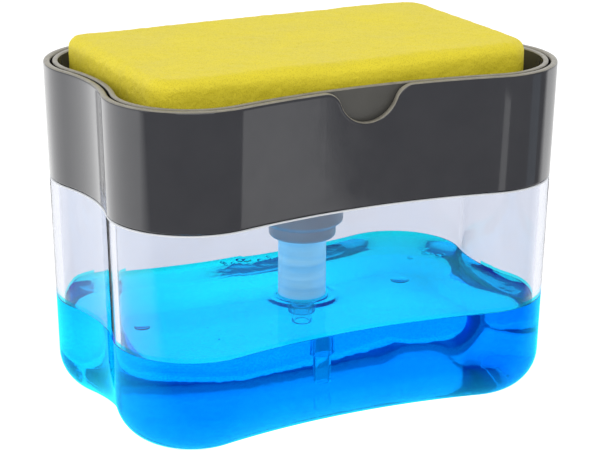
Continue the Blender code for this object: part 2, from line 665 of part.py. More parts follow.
def make_tray(parent):
    """Press tray: floor with drain ribs, wall, the soap's outlet and the boss over the stem's head."""
    corner = TRAY_UNDER + TRAY_FILLET
    section = arc(tray_side(corner) + TRAY_FILLET, corner, TRAY_FILLET, 270, 180, ROUND_STEPS)
    section += rim_section(tray_side, TRAY_WALL, TRAY_RIM_ROUND)
    corner = TRAY_FLOOR_TOP + TRAY_FILLET
    inner = tray_side(corner) + TRAY_WALL + TRAY_FILLET
    section += arc(inner, corner, TRAY_FILLET, 180, 270, ROUND_STEPS)
    look = plain_look("tray_plastic", (0.06, 0.06, 0.06), 0.3)
    tray = add_part("tray", wall_shape("tray", section, TRAY_UNDER), look, parent, TRAY_UNDER)
    middle = TRAY_UNDER + TRAY_FLOOR / 2
    boss_end = TRAY_UNDER - BOSS_LENGTH
    boss = cylinder_shape("boss_blank", BOSS_RADIUS, boss_end, middle, TURN_STEPS)
    combine(tray, add_cutter("boss_blank", boss, parent, boss_end), "UNION")
    bore = cylinder_shape("boss_bore", BOSS_BORE, boss_end - OVERRUN, TRAY_UNDER, TURN_STEPS)
    combine(tray, add_cutter("boss_bore", bore, parent, boss_end - OVERRUN), "DIFFERENCE")

    ring = cylinder_shape(
        "outlet_ring", OUTLET_RADIUS + OUTLET_RING_WALL, middle, TRAY_FLOOR_TOP + RIB_HEIGHT, TURN_STEPS
    )
    combine(tray, add_cutter("outlet_ring", ring, parent, middle), "UNION")
    length, width = tray_room()
    pitch = (length - 2 * RIB_END_GAP) / (2 * RIB_PAIRS)
    shape = bmesh.new()
    for k in range(2 * RIB_PAIRS):
        made = bmesh.ops.create_cube(shape, size=1)
        height = TRAY_FLOOR / 2 + RIB_HEIGHT
        bmesh.ops.scale(shape, verts=made["verts"], vec=(RIB_WIDTH, width - 2 * RIB_END_GAP, height))
        place = (pitch * (k + 1 / 2 - RIB_PAIRS), 0, height / 2)
        bmesh.ops.translate(shape, verts=made["verts"], vec=place)
    ribs = add_cutter("drain_ribs", finish_mesh(shape, "drain_ribs"), parent, middle)
    combine(tray, ribs, "UNION")
    hole = cylinder_shape(
        "outlet_hole", OUTLET_RADIUS, TRAY_UNDER - OVERRUN, TRAY_FLOOR_TOP + RIB_HEIGHT + OVERRUN, TURN_STEPS
    )
    combine(tray, add_cutter("outlet_hole", hole, parent, TRAY_UNDER - OVERRUN), "DIFFERENCE")


def tray_room():
    """Length and width of the room in the tray at its floor, between its drawn-in sides."""
    wall = tray_side(TRAY_FLOOR_TOP) + TRAY_WALL
    return LENGTH - 2 * (END_WAIST + wall), WIDTH - 2 * (SIDE_WAIST + wall)


def make_sponge(parent):
    """Foam block with soft corners and edges."""
    length, width = tray_room()
    half_length = length / 2 - SPONGE_END_GAP
    half_width = width / 2 - SPONGE_SIDE_GAP
    corner_x = half_length - SPONGE_CORNER
    corner_y = half_width - SPONGE_CORNER
    points = []
    for quarter, (x, y) in enumerate(((1, 1), (-1, 1), (-1, -1), (1, -1))):
        for step in range(FILLET_STEPS + 1):
            angle = math.pi / 2 * (quarter + step / FILLET_STEPS)
            points.append((
                x * corner_x + SPONGE_CORNER * math.cos(angle) - SPONGE_LEFTWARD,
                y * corner_y + SPONGE_CORNER * math.sin(angle),
            ))
    look = plain_look("yellow_foam", (0.75, 0.66, 0.05), 0.95)
    shape = flat_plate("sponge", points, SPONGE_HEIGHT, SPONGE_EDGE)
    add_part("sponge", shape, look, parent, SPONGE_BOTTOM + SPONGE_HEIGHT / 2)


PARTS, CUTTERS = clear_scene()
steel = plain_look("spring_steel", (0.6, 0.6, 0.6), 0.2, metallic=1.0)
base_axis = body_axis("base", 0)
top_axis = body_axis("lift_off_axis", COLLAR_BOTTOM, base_axis)
plunger_axis = body_axis("plunger_axis", HEAD_TOP, top_axis)
tray_axis = body_axis("tray_axis", TRAY_UNDER, plunger_axis)
sponge_axis = body_axis("sponge_axis", SPONGE_BOTTOM, tray_axis)
inlet_axis = body_axis("inlet_ball_axis", INLET_CENTRE, top_axis)

make_tank(base_axis)
make_soap(base_axis)
make_collar(top_axis)
make_closure(top_axis)
make_gasket(top_axis)
make_housing(top_axis)
make_guide(top_axis)
make_dip_tube(top_axis)
make_spring(top_axis, steel)
cage("inlet_cage", BORE_RADIUS - GAP, INLET_BALL_RADIUS, steel, top_axis, INLET_CAGE_BOTTOM)
ball("inlet_ball", INLET_BALL_RADIUS, steel, inlet_axis, INLET_CENTRE)
make_plunger(plunger_axis, steel)
make_tray(tray_axis)
make_sponge(sponge_axis)
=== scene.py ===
"""Looks of the dish soap dispenser: fine shells, soap, sponge, materials, camera and light.

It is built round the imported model, in metres, with +Z up and the finger notch facing -Y.
"""

import math
import random

import bmesh
import bpy
import numpy as np
from mathutils import Matrix, Vector, noise


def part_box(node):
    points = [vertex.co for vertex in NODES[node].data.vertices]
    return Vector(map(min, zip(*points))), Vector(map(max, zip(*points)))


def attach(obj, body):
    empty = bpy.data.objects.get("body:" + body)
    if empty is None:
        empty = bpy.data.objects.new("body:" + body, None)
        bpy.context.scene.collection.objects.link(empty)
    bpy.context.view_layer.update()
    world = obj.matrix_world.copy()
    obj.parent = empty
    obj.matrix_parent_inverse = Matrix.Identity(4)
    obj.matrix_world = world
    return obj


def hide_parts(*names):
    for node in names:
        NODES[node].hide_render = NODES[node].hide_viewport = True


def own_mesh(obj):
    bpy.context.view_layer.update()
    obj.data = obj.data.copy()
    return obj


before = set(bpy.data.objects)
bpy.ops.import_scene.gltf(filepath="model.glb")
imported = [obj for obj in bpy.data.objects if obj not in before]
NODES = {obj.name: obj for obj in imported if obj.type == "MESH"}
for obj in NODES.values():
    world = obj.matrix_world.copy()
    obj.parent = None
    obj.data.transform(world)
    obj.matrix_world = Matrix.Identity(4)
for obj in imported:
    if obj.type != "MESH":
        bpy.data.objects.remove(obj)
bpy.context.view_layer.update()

# Camera: where it stands round its target, how far off, its lens, and a small shift of its own place
AZIMUTH = math.radians(-27.49)
ELEVATION = math.radians(17.556)
ROLL = math.radians(0.411)
DISTANCE = 0.7073
LENS = 128.64
TARGET = Vector((0, 0, 0.056))
SLIDE = (0.00002, -0.00053)

# Floor: its glow far from the tank and under it, and the distances between which the glow fades
FLOOR_GLOW = 0.68, 1.5
GLOW_REACH = 0.045, 0.085
FLOOR_RADIUS = 4
FLOOR_DROP = 0.00005

# Floor in a mirror: its brightness in front, behind and in a dark sector behind, that sector's heading
# and spread, and the places along Y between which the front turns into the back
MIRRORED_FLOOR = 0.1, 2.05, 0.4
DARK_HEADING = (0.6, 0.8, 0)
DARK_SPREAD = 0.5, 1.2
FLOOR_TURN = -0.075, -0.015

# Room: its brightness in front, behind and at the ceiling, where the ceiling begins, its brightness in
# a mirror in front and behind, the headings along Y between which the front turns into the back, and
# the share of the mirrored look in front that is kept through glass
ROOM_GLOW = 0.6, 1.5, 0.9
CEILING_TURN = 0.45, 0.75
MIRRORED_ROOM = 0.1, 1.25
ROOM_TURN = -0.25, 0.05
GLASS_MIRRORED = 0.8

# Soft light panels: name, place, point that they face, size, brightness and colour
PANELS = (
    ("fill", (-0.35, -1.0, 0.75), (0, 0, 0.1), (1.0, 0.8), 2.2, (1, 1, 1)),
    ("front_right", (0.0812, -0.159, 0.04), (-0.033, -0.048, 0.093), (0.02, 0.06), 1.15, (1, 1, 1)),
    ("right_end", (0.202, -0.11, 0.045), (0.07, -0.04, 0.09), (0.05, 0.08), 0.32, (0.6, 0.8, 1.0)),
)

# Plan outline and lean of the outer wall, as in the model
LENGTH = 0.155
WIDTH = 0.102
RIM_HEIGHT = 0.112
CORNER_RADIUS = 0.0273
SIDE_WAIST = 0.0054
END_WAIST = 0.0035
LEAN_SHARE = 0.028

# Finer facets than the model's
END_STEPS = 8
CORNER_STEPS = 24
SIDE_STEPS = 14
WALL_STEPS = 6
FOOT_STEPS = 14
ROUND_STEPS = 5
EDGE_STEPS = 3
NECK_STEPS = 2
TURN_STEPS = 72
TUBE_STEPS = 48
HEAD_STEPS = 56
SHARP_ANGLE = 35.0

# Common roundings, how far an added piece sinks into what carries it, and places well past the last
# corner of a section, which only give the direction there
TINY_ROUND = 0.0002
FINE_ROUND = 0.0003
SOFT_ROUND = 0.0004
SINK = 0.0004
FAR_IN = 0.02
FAR_UP = 0.1
FAR_DOWN = 0.01

# Collar. The last two are the space beside the notch and the way from the rounded rim to the next ring
COLLAR_WALL = 0.0022
COLLAR_ROUND = 0.0008
COLLAR_FILLET = 0.002
COLLAR_LIP = 0.0011
DECK_TOP = 0.0829
DECK_UNDER = 0.0805
DECK_FILLET = 0.0006
COLLAR_EDGE = 0.0742
NECK_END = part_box("collar")[0].z
NECK_BORE = 0.0098
NECK_RADIUS = 0.0116
NOTCH_RADIUS = 0.0103
NOTCH_DEPTH = 0.0108
NOTCH_SHOULDER = 0.0062
NOTCH_HALF = 0.0172
NOTCH_STEP = 0.0006
NOTCH_ROOM = 0.001
HOLD = 0.0004

# Tank and soap
TANK_WALL = 0.0026
TANK_FLOOR = 0.003
TANK_LIP = 0.0012
FOOT_FILLET = 0.0133
TANK_SHOULDER = 0.0739
SHOULDER_ROUND = 0.0005
TANK_TOP = 0.0802
TANK_MIDST = 0.03
WALL_LOW = 0.024
WALL_MIDDLE = 0.044
WALL_HIGH = 0.06
FLOOR_SHARES = (0.1, 0.5)
SOAP_HEIGHT = 0.0315
SOAP_LAP = 0.0003

# Where the tank's faces take the look of a wetted wall
FLAT_FACING = 0.5
FLOOR_ZONE = 0.01
WET_RISE = 0.0005
WET_FOOT = 0.001

# Tray
TRAY_WALL = 0.0018
TRAY_SIDE_GAP = 0.0007
TRAY_FLOOR_TOP = 0.0955
TRAY_UNDER = 0.0935
TRAY_FILLET = 0.003
TRAY_ROUND = 0.0006
RIB_HEIGHT = 0.0012
RIB_WIDTH = 0.0016
RIB_LENGTH = 0.0569
RIB_PITCH = 0.0142
RIBS = 8
RIB_END_STEPS = 5
RIB_TIP_SHARE = 0.05
OUTLET_RADIUS = 0.002
OUTLET_RING = 0.0046
BOSS_BORE = 0.0059
BOSS_RADIUS = 0.0075
BOSS_END = 0.0795

# Screw ring of the pump
CLOSURE_RADIUS = 0.0136
CLOSURE_BORE = 0.0119
CLOSURE_EDGE = 0.0580
CLOSURE_EDGE_RADIUS = 0.0117
CLOSURE_EDGE_ROUND = 0.0010
CLOSURE_FOOT_ROUND = 0.0006
CLOSURE_FLOOR_TOP = 0.058589
CLOSURE_BOTTOM = 0.052489
SPOUT_TOP = 0.056589
SPOUT_RADIUS = 0.01115
SPOUT_BORE = 0.0083
SPOUT_ROUND = 0.0011

# Housing of the pump and its suction tube
FLANGE_TOP = 0.060689
FLANGE_BOTTOM = 0.058889
HOUSING_RADIUS = 0.008
HOUSING_END = 0.029792
HOUSING_ROUND = 0.0009
BORE_RADIUS = 0.0066
BORE_FLOOR = 0.031192
NIPPLE_RADIUS = 0.0046
NIPPLE_BOTTOM = 0.015358
NIPPLE_ROUND = 0.0006
NIPPLE_LOOK_TOP = 0.0297
SOCKET_RADIUS = 0.0037
SOCKET_TOP = 0.023351
INLET_THROAT = 0.00156
INLET_SEAT = 0.024851
INLET_CHAMBER = 0.0032
INLET_CHAMBER_FLOOR = 0.026491
TUBE_RADIUS = 0.0034
TUBE_BORE = 0.0024
TUBE_TOP = 0.023051
TUBE_END = 0.0055

# Guide cup, stem and head of the pump
GUIDE_RADIUS = 0.0095
GUIDE_BORE = 0.0081
GUIDE_BOTTOM = 0.060989
GUIDE_FLOOR_TOP = 0.062589
GUIDE_FILLET = 0.0005
STEM_HOLE = 0.0038
STEM_RADIUS = 0.0035
STEM_BORE = 0.0018
STEM_TOP = 0.084184
STEM_BOTTOM = 0.055189
HEAD_RADIUS = 0.0056
HEAD_TOP = 0.0932
HEAD_BOTTOM = 0.078484
HEAD_SOCKET_TOP = 0.084484
OUTLET_THROAT = 0.00132
OUTLET_SEAT = 0.085984
OUTLET_CHAMBER = 0.0028
OUTLET_CHAMBER_FLOOR = 0.087464
OUTLET_CAGE_RADIUS = 0.0043
OUTLET_CAGE_SEAT = 0.0913

# Return spring
WIRE_RADIUS = 0.00045
WIRE_SIDES = 10
SPRING_RADIUS = 0.0052
SPRING_TURNS = 8
SPRING_STEPS = 28

# Sponge: its plain shape, the pitch, inset and fitting of its skin's grid, then the scale and depth of
# its swell, unevenness and pits
SPONGE_CORNER = 0.010
SPONGE_SHARP_CORNER = 0.006
SPONGE_EDGE = 0.004
SPONGE_PITCH = 0.0006
SPONGE_INSET = 0.00025
SPONGE_ROUNDS = 6
SLOPE_STEP = 0.00001
FOAM_SWELL = 45, 0.00035
FOAM_UNEVEN = 260, 0.00016
FOAM_CELLS = 560
FOAM_PIT = 0.42, 0.00030

# Soap's surface: its rise at the wall, at the pump and in the ring round the pump, and its swell
MENISCUS_HEIGHT = 0.0011
MENISCUS_LENGTH = 0.0012
PUMP_RING_HEIGHT = 0.0010
PUMP_RING_LENGTH = 0.0012
RING_WAVE_HEIGHT = 0.0005
RING_WAVE_RADIUS = 0.0115
RING_WAVE_WIDTH = 0.0011
SWELL_HEIGHT = 0.00012
SWELL_SCALE = 42, 60, 3.1

# Rings of the soap's surface: distances from the wall, then even steps, then radii round the pump
WALL_RINGS = (0.0, 0.0002, 0.0005, 0.0009, 0.0014, 0.002, 0.0028, 0.004, 0.006)
OPEN_STEPS = 30
OPEN_WIDTH = 0.03
OPEN_END = 0.016
PUMP_RINGS = (0.0145, 0.0133, 0.0122, 0.0113, 0.0105, 0.0098, 0.0092, 0.0087, 0.0083, 0.008, 0.0076)
FAR_FROM_WALL = 0.04

# Bubbles: two single ones by place, radius and flatness, then groups by count and range of x, y and radius
SINGLE_BUBBLES = (-0.06, -0.0055, 0.0028, 0.2), (0.037, -0.0015, 0.0032, 0.12)
BUBBLE_GROUPS = (
    (12, (-0.01, 0.03), (0.0375, 0.0405), (0.0006, 0.0013)),
    (10, (0.05, 0.066), (0.008, 0.03), (0.0005, 0.0012)),
    (14, (-0.055, 0.055), (-0.03, 0.03), (0.0002, 0.0004)),
)
BUBBLE_FLATNESS = 0.62
BUBBLE_RISE = 0.1

# Clear materials: how strongly they bend light, and the pairs of tints that they are mottled with
PLASTIC_BEND = 1.49
SOAP_BEND = 1.34
CALM_SHARE = 0.8
CLEAR_TINTS = (0.77, 0.79, 0.85), (0.8, 0.82, 0.88)
CALM_TINTS = (0.88, 0.89, 0.925), (0.895, 0.905, 0.94)
WET_TINTS = (0.04, 0.9, 0.97), (0.08, 1.0, 1.0)
FOOT_TINTS = (0.04, 0.9, 1.0), (0.06, 0.92, 1.0)
SOAP_TINTS = (0.03, 0.9, 0.97), (0.07, 1.0, 1.0)
SOAP_DEPTH_TINT = (0.0, 0.88, 0.997, 1)
SOAP_DENSITY = 80
# The soap's painted light: tint and strength of a blue glow through its body
SOAP_GLOW_TINT = (0.0, 0.13, 1.0, 1)
SOAP_GLOW = 4.5

# Foam: its tints, and the painted shade of its pores
FOAM_TINTS = (0.745, 0.622, 0.017), (0.8, 0.67, 0.025)
PORE_SHADE = (0.74, 0.7, 0.48, 1)

WHITE = (1, 1, 1, 1)


def lean(height):
    """How far the outer wall has drawn in at a height."""
    return LEAN_SHARE * (RIM_HEIGHT - height)


# Arcs of one quarter of the plan outline
CORNER_X = LENGTH / 2 - CORNER_RADIUS
CORNER_Y = WIDTH / 2 - CORNER_RADIUS
SIDE = WIDTH / 2 - SIDE_WAIST
END = LENGTH / 2 - END_WAIST
SIDE_ARC = (CORNER_X**2 + (SIDE - CORNER_Y) ** 2 - CORNER_RADIUS**2) / (2 * SIDE_WAIST)
END_ARC = (CORNER_Y**2 + (END - CORNER_X) ** 2 - CORNER_RADIUS**2) / (2 * END_WAIST)
SIDE_CENTRE = SIDE + SIDE_ARC
END_CENTRE = END + END_ARC


def plan_columns():
    """Columns of the plan outline, anticlockwise from the right end: centre, radius, growth, angle."""
    end_angle = math.atan2(CORNER_Y, CORNER_X - END_CENTRE)
    side_angle = math.atan2(CORNER_Y - SIDE_CENTRE, CORNER_X)
    arcs = (
        (END_CENTRE, 0, END_ARC, 1, math.pi, end_angle, END_STEPS),
        (CORNER_X, CORNER_Y, CORNER_RADIUS, -1, end_angle - math.pi, side_angle + math.pi, CORNER_STEPS),
        (0, SIDE_CENTRE, SIDE_ARC, 1, side_angle, -math.pi / 2, SIDE_STEPS),
    )
    quarter = []
    for x, y, radius, growth, start, stop, steps in arcs:
        for step in range(steps):
            quarter.append((x, y, radius, growth, start + (stop - start) * step / steps))
    half = quarter + [(0, SIDE_CENTRE, SIDE_ARC, 1, -math.pi / 2)]
    half += [(-x, y, radius, growth, math.pi - angle) for x, y, radius, growth, angle in reversed(quarter)]
    return half + [(x, -y, radius, growth, -angle) for x, y, radius, growth, angle in reversed(half[1:-1])]


def column_place(column, inset, height):
    """Point of a column where the wall is drawn in by an inset."""
    x, y, radius, growth, angle = column[:5]
    reach = radius + growth * inset
    return x + reach * math.cos(angle), y + reach * math.sin(angle), height


def ring_at(columns, inset, height):
    """Points of all columns at one inset and height."""
    return [column_place(column, inset, height) for column in columns]


def wall_rings(columns, section):
    """Rings at the insets and heights of a section, drawn in with the lean of the wall."""
    return [ring_at(columns, lean(height) + inset, height) for inset, height in section]


def led_in(ring, radius, height):
    """Ring led in to a circle about the pump's axis."""
    turns = [math.atan2(y, x) for x, y, _ in ring]
    return [(radius * math.cos(turn), radius * math.sin(turn), height) for turn in turns]


def circle_at(columns, radius, height):
    """The outline's columns led in to a circle."""
    return led_in(ring_at(columns, 0, 0), radius, height)


def inward(ring, share):
    """Ring shrunk towards the pump's axis to a share of its size."""
    return [(x * share, y * share, z) for x, y, z in ring]


def between(first, second, *shares):
    """Rings that lie at shares of the way from one ring to another."""
    a = np.array(first)
    b = np.array(second)
    return [(a + (b - a) * share).tolist() for share in shares]


def place_object(name, data):
    """A new object in the scene."""
    item = bpy.data.objects.new(name, data)
    bpy.context.scene.collection.objects.link(item)
    return item


def make_piece(name, verts, faces, look, sharp=SHARP_ANGLE):
    """An object from points and faces, turned outward and smooth up to an angle."""
    mesh = bpy.data.meshes.new(name)
    mesh.from_pydata(verts, [], faces)
    shape = bmesh.new()
    shape.from_mesh(mesh)
    bmesh.ops.recalc_face_normals(shape, faces=shape.faces)
    shape.to_mesh(mesh)
    shape.free()
    mesh.shade_smooth()
    mesh.set_sharp_from_angle(angle=math.radians(sharp))
    mesh.materials.append(look)
    return place_object(name, mesh)


def band(first, second, count):
    """Faces between two rings of points, each given by its first point's number."""
    faces = []
    for k in range(count):
        after = (k + 1) % count
        faces.append((first + k, first + after, second + after, second + k))
    return faces


def loft(name, rings, look, closed, sharp=SHARP_ANGLE):
    """A skin through rings of equal length.

    Closed joins the last ring to the first, else both ends are capped.
    """
    count = len(rings[0])
    verts = [point for ring in rings for point in ring]
    faces = []
    for k in range(len(rings) - 1):
        faces += band(k * count, (k + 1) * count, count)
    if closed:
        faces += band((len(rings) - 1) * count, 0, count)
    else:
        for ring in (0, len(rings) - 1):
            verts.append((0, 0, rings[ring][0][2]))
            for k in range(count):
                faces.append((len(verts) - 1, ring * count + k, ring * count + (k + 1) % count))
    piece = make_piece(name, verts, faces, look, sharp)
    even = piece.modifiers.new("even_shading", "WEIGHTED_NORMAL")
    even.keep_sharp = True
    return piece


def rounded(corners, steps=ROUND_STEPS, closed=False):
    """A section whose corners, each a point with a radius, are turned into round arcs."""
    points = []
    last = len(corners) - 1
    for k, (u, v, radius) in enumerate(corners):
        if not radius or (not closed and k in (0, last)):
            points.append((u, v))
            continue
        here = Vector((u, v))
        back = (Vector(corners[k - 1][:2]) - here).normalized()
        on = (Vector(corners[(k + 1) % len(corners)][:2]) - here).normalized()
        half = back.angle(on) / 2
        centre = here + (back + on).normalized() * radius / math.sin(half)
        first = here + back * radius / math.tan(half) - centre
        final = here + on * radius / math.tan(half) - centre
        swing = first.angle_signed(final)
        for step in range(steps + 1):
            turn = Matrix.Rotation(-swing * step / steps, 2)
            points.append(tuple(centre + turn @ first))
    return points


def turned(name, corners, look, steps=TURN_STEPS):
    """A turned piece from a closed section of radii and heights with rounded corners."""
    turns = [math.tau * k / steps for k in range(steps)]
    rings = []
    for radius, height in rounded(corners, EDGE_STEPS, True):
        rings.append([(radius * math.cos(t), radius * math.sin(t), height) for t in turns])
    return loft(name, rings, look, True)


# Materials
def feed(node, *ordered, **named):
    """Gives inputs of a node, in their order or by name, a constant or a link from another node's output.

    An underscore in a name stands for a space.
    """
    sources = list(zip(node.inputs, ordered))
    sources += [(node.inputs[name.replace("_", " ")], source) for name, source in named.items()]
    for socket, source in sources:
        if isinstance(source, bpy.types.NodeSocket):
            node.id_data.links.new(source, socket)
        else:
            socket.default_value = source


def add_node(tree, kind, *ordered, **named):
    """A new shader node that is fed in the same way."""
    node = tree.nodes.new("ShaderNode" + kind)
    feed(node, *ordered, **named)
    return node


def new_look(name):
    """A node material with its Principled shader."""
    look = bpy.data.materials.new(name)
    look.use_nodes = True
    tree = look.node_tree
    return look, tree, tree.nodes["Principled BSDF"]


def field(tree, scale, detail=3.0, rough=0.5, stretch=(1, 1, 1), kind="noise"):
    """A texture over the piece's own coordinates, in metres: noise, or the distance to the nearest cell."""
    place = add_node(tree, "TexCoord").outputs["Object"]
    place = add_node(tree, "Mapping", Vector=place, Scale=stretch).outputs["Vector"]
    if kind == "cells":
        return add_node(tree, "TexVoronoi", Vector=place, Scale=scale).outputs["Distance"]
    noisy = add_node(tree, "TexNoise", Vector=place, Scale=scale, Detail=detail, Roughness=rough)
    return noisy.outputs["Fac"]


def span(tree, value, low, high, to_low, to_high):
    """A value mapped from one range to another, held at the ends."""
    return add_node(tree, "MapRange", value, low, high, to_low, to_high).outputs["Result"]


def blend_colours(tree, share, first, second):
    """A colour between two, by a share."""
    mix = add_node(tree, "Mix")
    mix.data_type = "RGBA"
    feed(mix, Factor=share, A=(*first, 1), B=(*second, 1))
    return mix.outputs["Result"]


def mottled(tree, texture, tints, low=0.3, high=0.7):
    """A colour that goes from one tint to the other as a texture goes from low to high."""
    return blend_colours(tree, span(tree, texture, low, high, 0, 1), *tints)


def bump(tree, height, distance, strength=1.0, under=None):
    """A bump from a height between 0 and 1, on top of another bump if there is one."""
    made = add_node(tree, "Bump", Height=height, Distance=distance, Strength=strength)
    if under:
        feed(made, Normal=under)
    return made.outputs["Normal"]


def fade_to(tree, share, value, end):
    """A value that turns into a constant one by a share."""
    return add_node(tree, "Mix", Factor=share, A=value, B=end).outputs["Result"]


def mix_shaders(tree, share, first, second, output):
    """Sends the surface output a mix of two shaders, by a share."""
    mix = add_node(tree, "MixShader", share, first, second)
    feed(tree.nodes[output], Surface=mix.outputs["Shader"])


def moulded(name, tints, rough, grain, scale=90):
    """Moulded plastic: slight clouding of its colour, uneven gloss and a fine grain.

    The roughness goes between two values, and the grain is the depth of its soft waves and fine pits.
    """
    look, tree, shader = new_look(name)
    smudge = field(tree, scale * 2.3, 5, 0.6)
    soft = bump(tree, field(tree, 35, 2), grain[0])
    fine = bump(tree, field(tree, 1500, 2), grain[1], under=soft)
    feed(
        shader, Base_Color=mottled(tree, field(tree, scale, 4), tints), IOR=1.5,
        Roughness=span(tree, smudge, 0.35, 0.7, *rough), Normal=fine,
    )
    return look


def glass_shader(tree, tint, rough, ripples, bend):
    """A Glass shader with a tint, roughness and ripples from nodes."""
    tree.nodes.remove(tree.nodes["Principled BSDF"])
    glass = add_node(tree, "BsdfGlass", Color=tint, Roughness=rough, Normal=ripples, IOR=bend)
    feed(tree.nodes["Material Output"], Surface=glass.outputs["BSDF"])


def clear_look():
    """Clear plastic of the tank: cool tint, faint ripples of the moulding and uneven gloss.

    A share of the light that enters it passes without any reflection, which keeps its outside calm. Light
    that leaves it is reflected in full, which keeps its edges dark.
    """
    look, tree, shader = new_look("tank_clear_plastic")
    cloud = field(tree, 40, 2)
    feed(
        shader, Base_Color=mottled(tree, cloud, CLEAR_TINTS), IOR=PLASTIC_BEND, Transmission_Weight=1.0,
        Roughness=span(tree, field(tree, 220, 5, 0.6), 0.45, 0.8, 0.0, 0.03),
        Normal=bump(tree, field(tree, 30, 1), 0.00003),
    )
    calm = add_node(tree, "BsdfRefraction", Color=mottled(tree, cloud, CALM_TINTS), IOR=PLASTIC_BEND)
    leaving = add_node(tree, "NewGeometry").outputs["Backfacing"]
    share = span(tree, leaving, 0, 1, CALM_SHARE, 0)
    mix_shaders(tree, share, shader.outputs["BSDF"], calm.outputs["BSDF"], "Material Output")
    return look


def wetted_look(name, tints):
    """The tank's wall where the blue of the soap lies against it, finely mottled."""
    look, tree, _ = new_look(name)
    tint = mottled(tree, field(tree, 1500, 3, 0.6), tints, 0.35, 0.65)
    rough = span(tree, field(tree, 220, 5, 0.6), 0.45, 0.8, 0.0, 0.02)
    glass_shader(tree, tint, rough, bump(tree, field(tree, 30, 1), 0.00003), PLASTIC_BEND)
    return look


def soap_look():
    """Blue soap: clear liquid that takes the red out of the light, with faint swirls on its surface and a
    painted blue glow through its body.
    """
    look, tree, _ = new_look("blue_liquid_soap")
    tint = mottled(tree, field(tree, 1500, 3, 0.6), SOAP_TINTS, 0.35, 0.65)
    rough = span(tree, field(tree, 300, 4), 0.45, 0.8, 0.0, 0.03)
    glass_shader(tree, tint, rough, bump(tree, field(tree, 110, 2), 0.00012), SOAP_BEND)
    depth = add_node(tree, "VolumeAbsorption", Color=SOAP_DEPTH_TINT, Density=SOAP_DENSITY)
    # Painted blue glow in the soap's body, added to its absorption
    painted_glow = add_node(tree, "Emission", Color=SOAP_GLOW_TINT, Strength=SOAP_GLOW)
    both = add_node(tree, "AddShader", depth.outputs["Volume"], painted_glow.outputs["Emission"])
    feed(tree.nodes["Material Output"], Volume=both.outputs["Shader"])
    return look


def milky_look(name, tints, clear, rough, bend, glow=0.0):
    """Milky plastic of the pump's cylinder and tube: it spreads some light, has faint level bands and a
    painted glow in its own tint.
    """
    look, tree, shader = new_look(name)
    tint = mottled(tree, field(tree, 160, 3, stretch=(0.15, 0.15, 2.5)), tints, 0.35, 0.65)
    feed(
        shader, Base_Color=tint, IOR=bend, Transmission_Weight=clear,
        Roughness=span(tree, field(tree, 400, 3), 0.3, 0.7, rough, rough + 0.08),
        Normal=bump(tree, field(tree, 90, 1), 0.00001),
        # Painted glow: the tint shines by itself, standing in for blue light from the soap
        Emission_Color=tint, Emission_Strength=glow,
    )
    return look


def steel_look(name, rough, stretch):
    """Steel with fine drawing lines."""
    look, tree, shader = new_look(name)
    lines = field(tree, 900, 4, 0.6, stretch)
    feed(
        shader, Base_Color=blend_colours(tree, lines, (0.5, 0.5, 0.5), (0.68, 0.68, 0.67)), Metallic=1.0,
        Roughness=span(tree, lines, 0.3, 0.7, rough, rough + 0.12),
        Normal=bump(tree, lines, 0.000008),
    )
    return look


def foam_look():
    """Open foam: fine pores that pit the surface and carry painted shade, over soft clouds of colour."""
    look, tree, shader = new_look("yellow_foam_cells")
    pores = field(tree, 2200, kind="cells")
    cells = field(tree, 900, kind="cells")
    cloud = field(tree, 70, 4, 0.6)
    # Painted shade in the pores: the colour is darkened towards each pore's middle
    shade = add_node(tree, "Mix")
    shade.data_type = "RGBA"
    shade.blend_type = "MULTIPLY"
    darkness = span(tree, pores, 0.05, 0.45, 1.0, 0.0)
    feed(shade, Factor=darkness, A=mottled(tree, cloud, FOAM_TINTS), B=PORE_SHADE)
    pits = bump(tree, pores, 0.00008, 0.7, under=bump(tree, cells, 0.00016, 0.6))
    feed(
        shader, Base_Color=shade.outputs["Result"], Specular_IOR_Level=0.5,
        Roughness=span(tree, cloud, 0.3, 0.7, 0.62, 0.78), Normal=pits,
    )
    return look


def reckon(tree, operation, first, second):
    """A difference, product or larger value of two, held between 0 and 1."""
    step = add_node(tree, "Math", first, second)
    step.operation = operation
    step.use_clamp = True
    return step.outputs["Value"]


def mirrored(tree, front):
    """How far a place is seen in a mirror: 1 by reflection, else 0.

    In front it is also seen so, by a large share, through glass after a reflection.
    """
    path = add_node(tree, "LightPath").outputs
    last = reckon(tree, "SUBTRACT", path["Is Reflection Ray"], path["Is Diffuse Ray"])
    once = reckon(tree, "SUBTRACT", path["Glossy Depth"], path["Diffuse Depth"])
    through = reckon(tree, "MULTIPLY", once, span(tree, front, 0, 1, 0, GLASS_MIRRORED))
    return reckon(tree, "MAXIMUM", last, through)


def front_share(tree, place, turn):
    """1 before the object, 0 behind it, and between in the turn, by the place's Y."""
    return span(tree, add_node(tree, "SeparateXYZ", place).outputs["Y"], *turn, 1, 0)


def vector_step(tree, operation, *vectors):
    """A Vector Math node on one vector or two."""
    step = add_node(tree, "VectorMath", *vectors)
    step.operation = operation
    return step


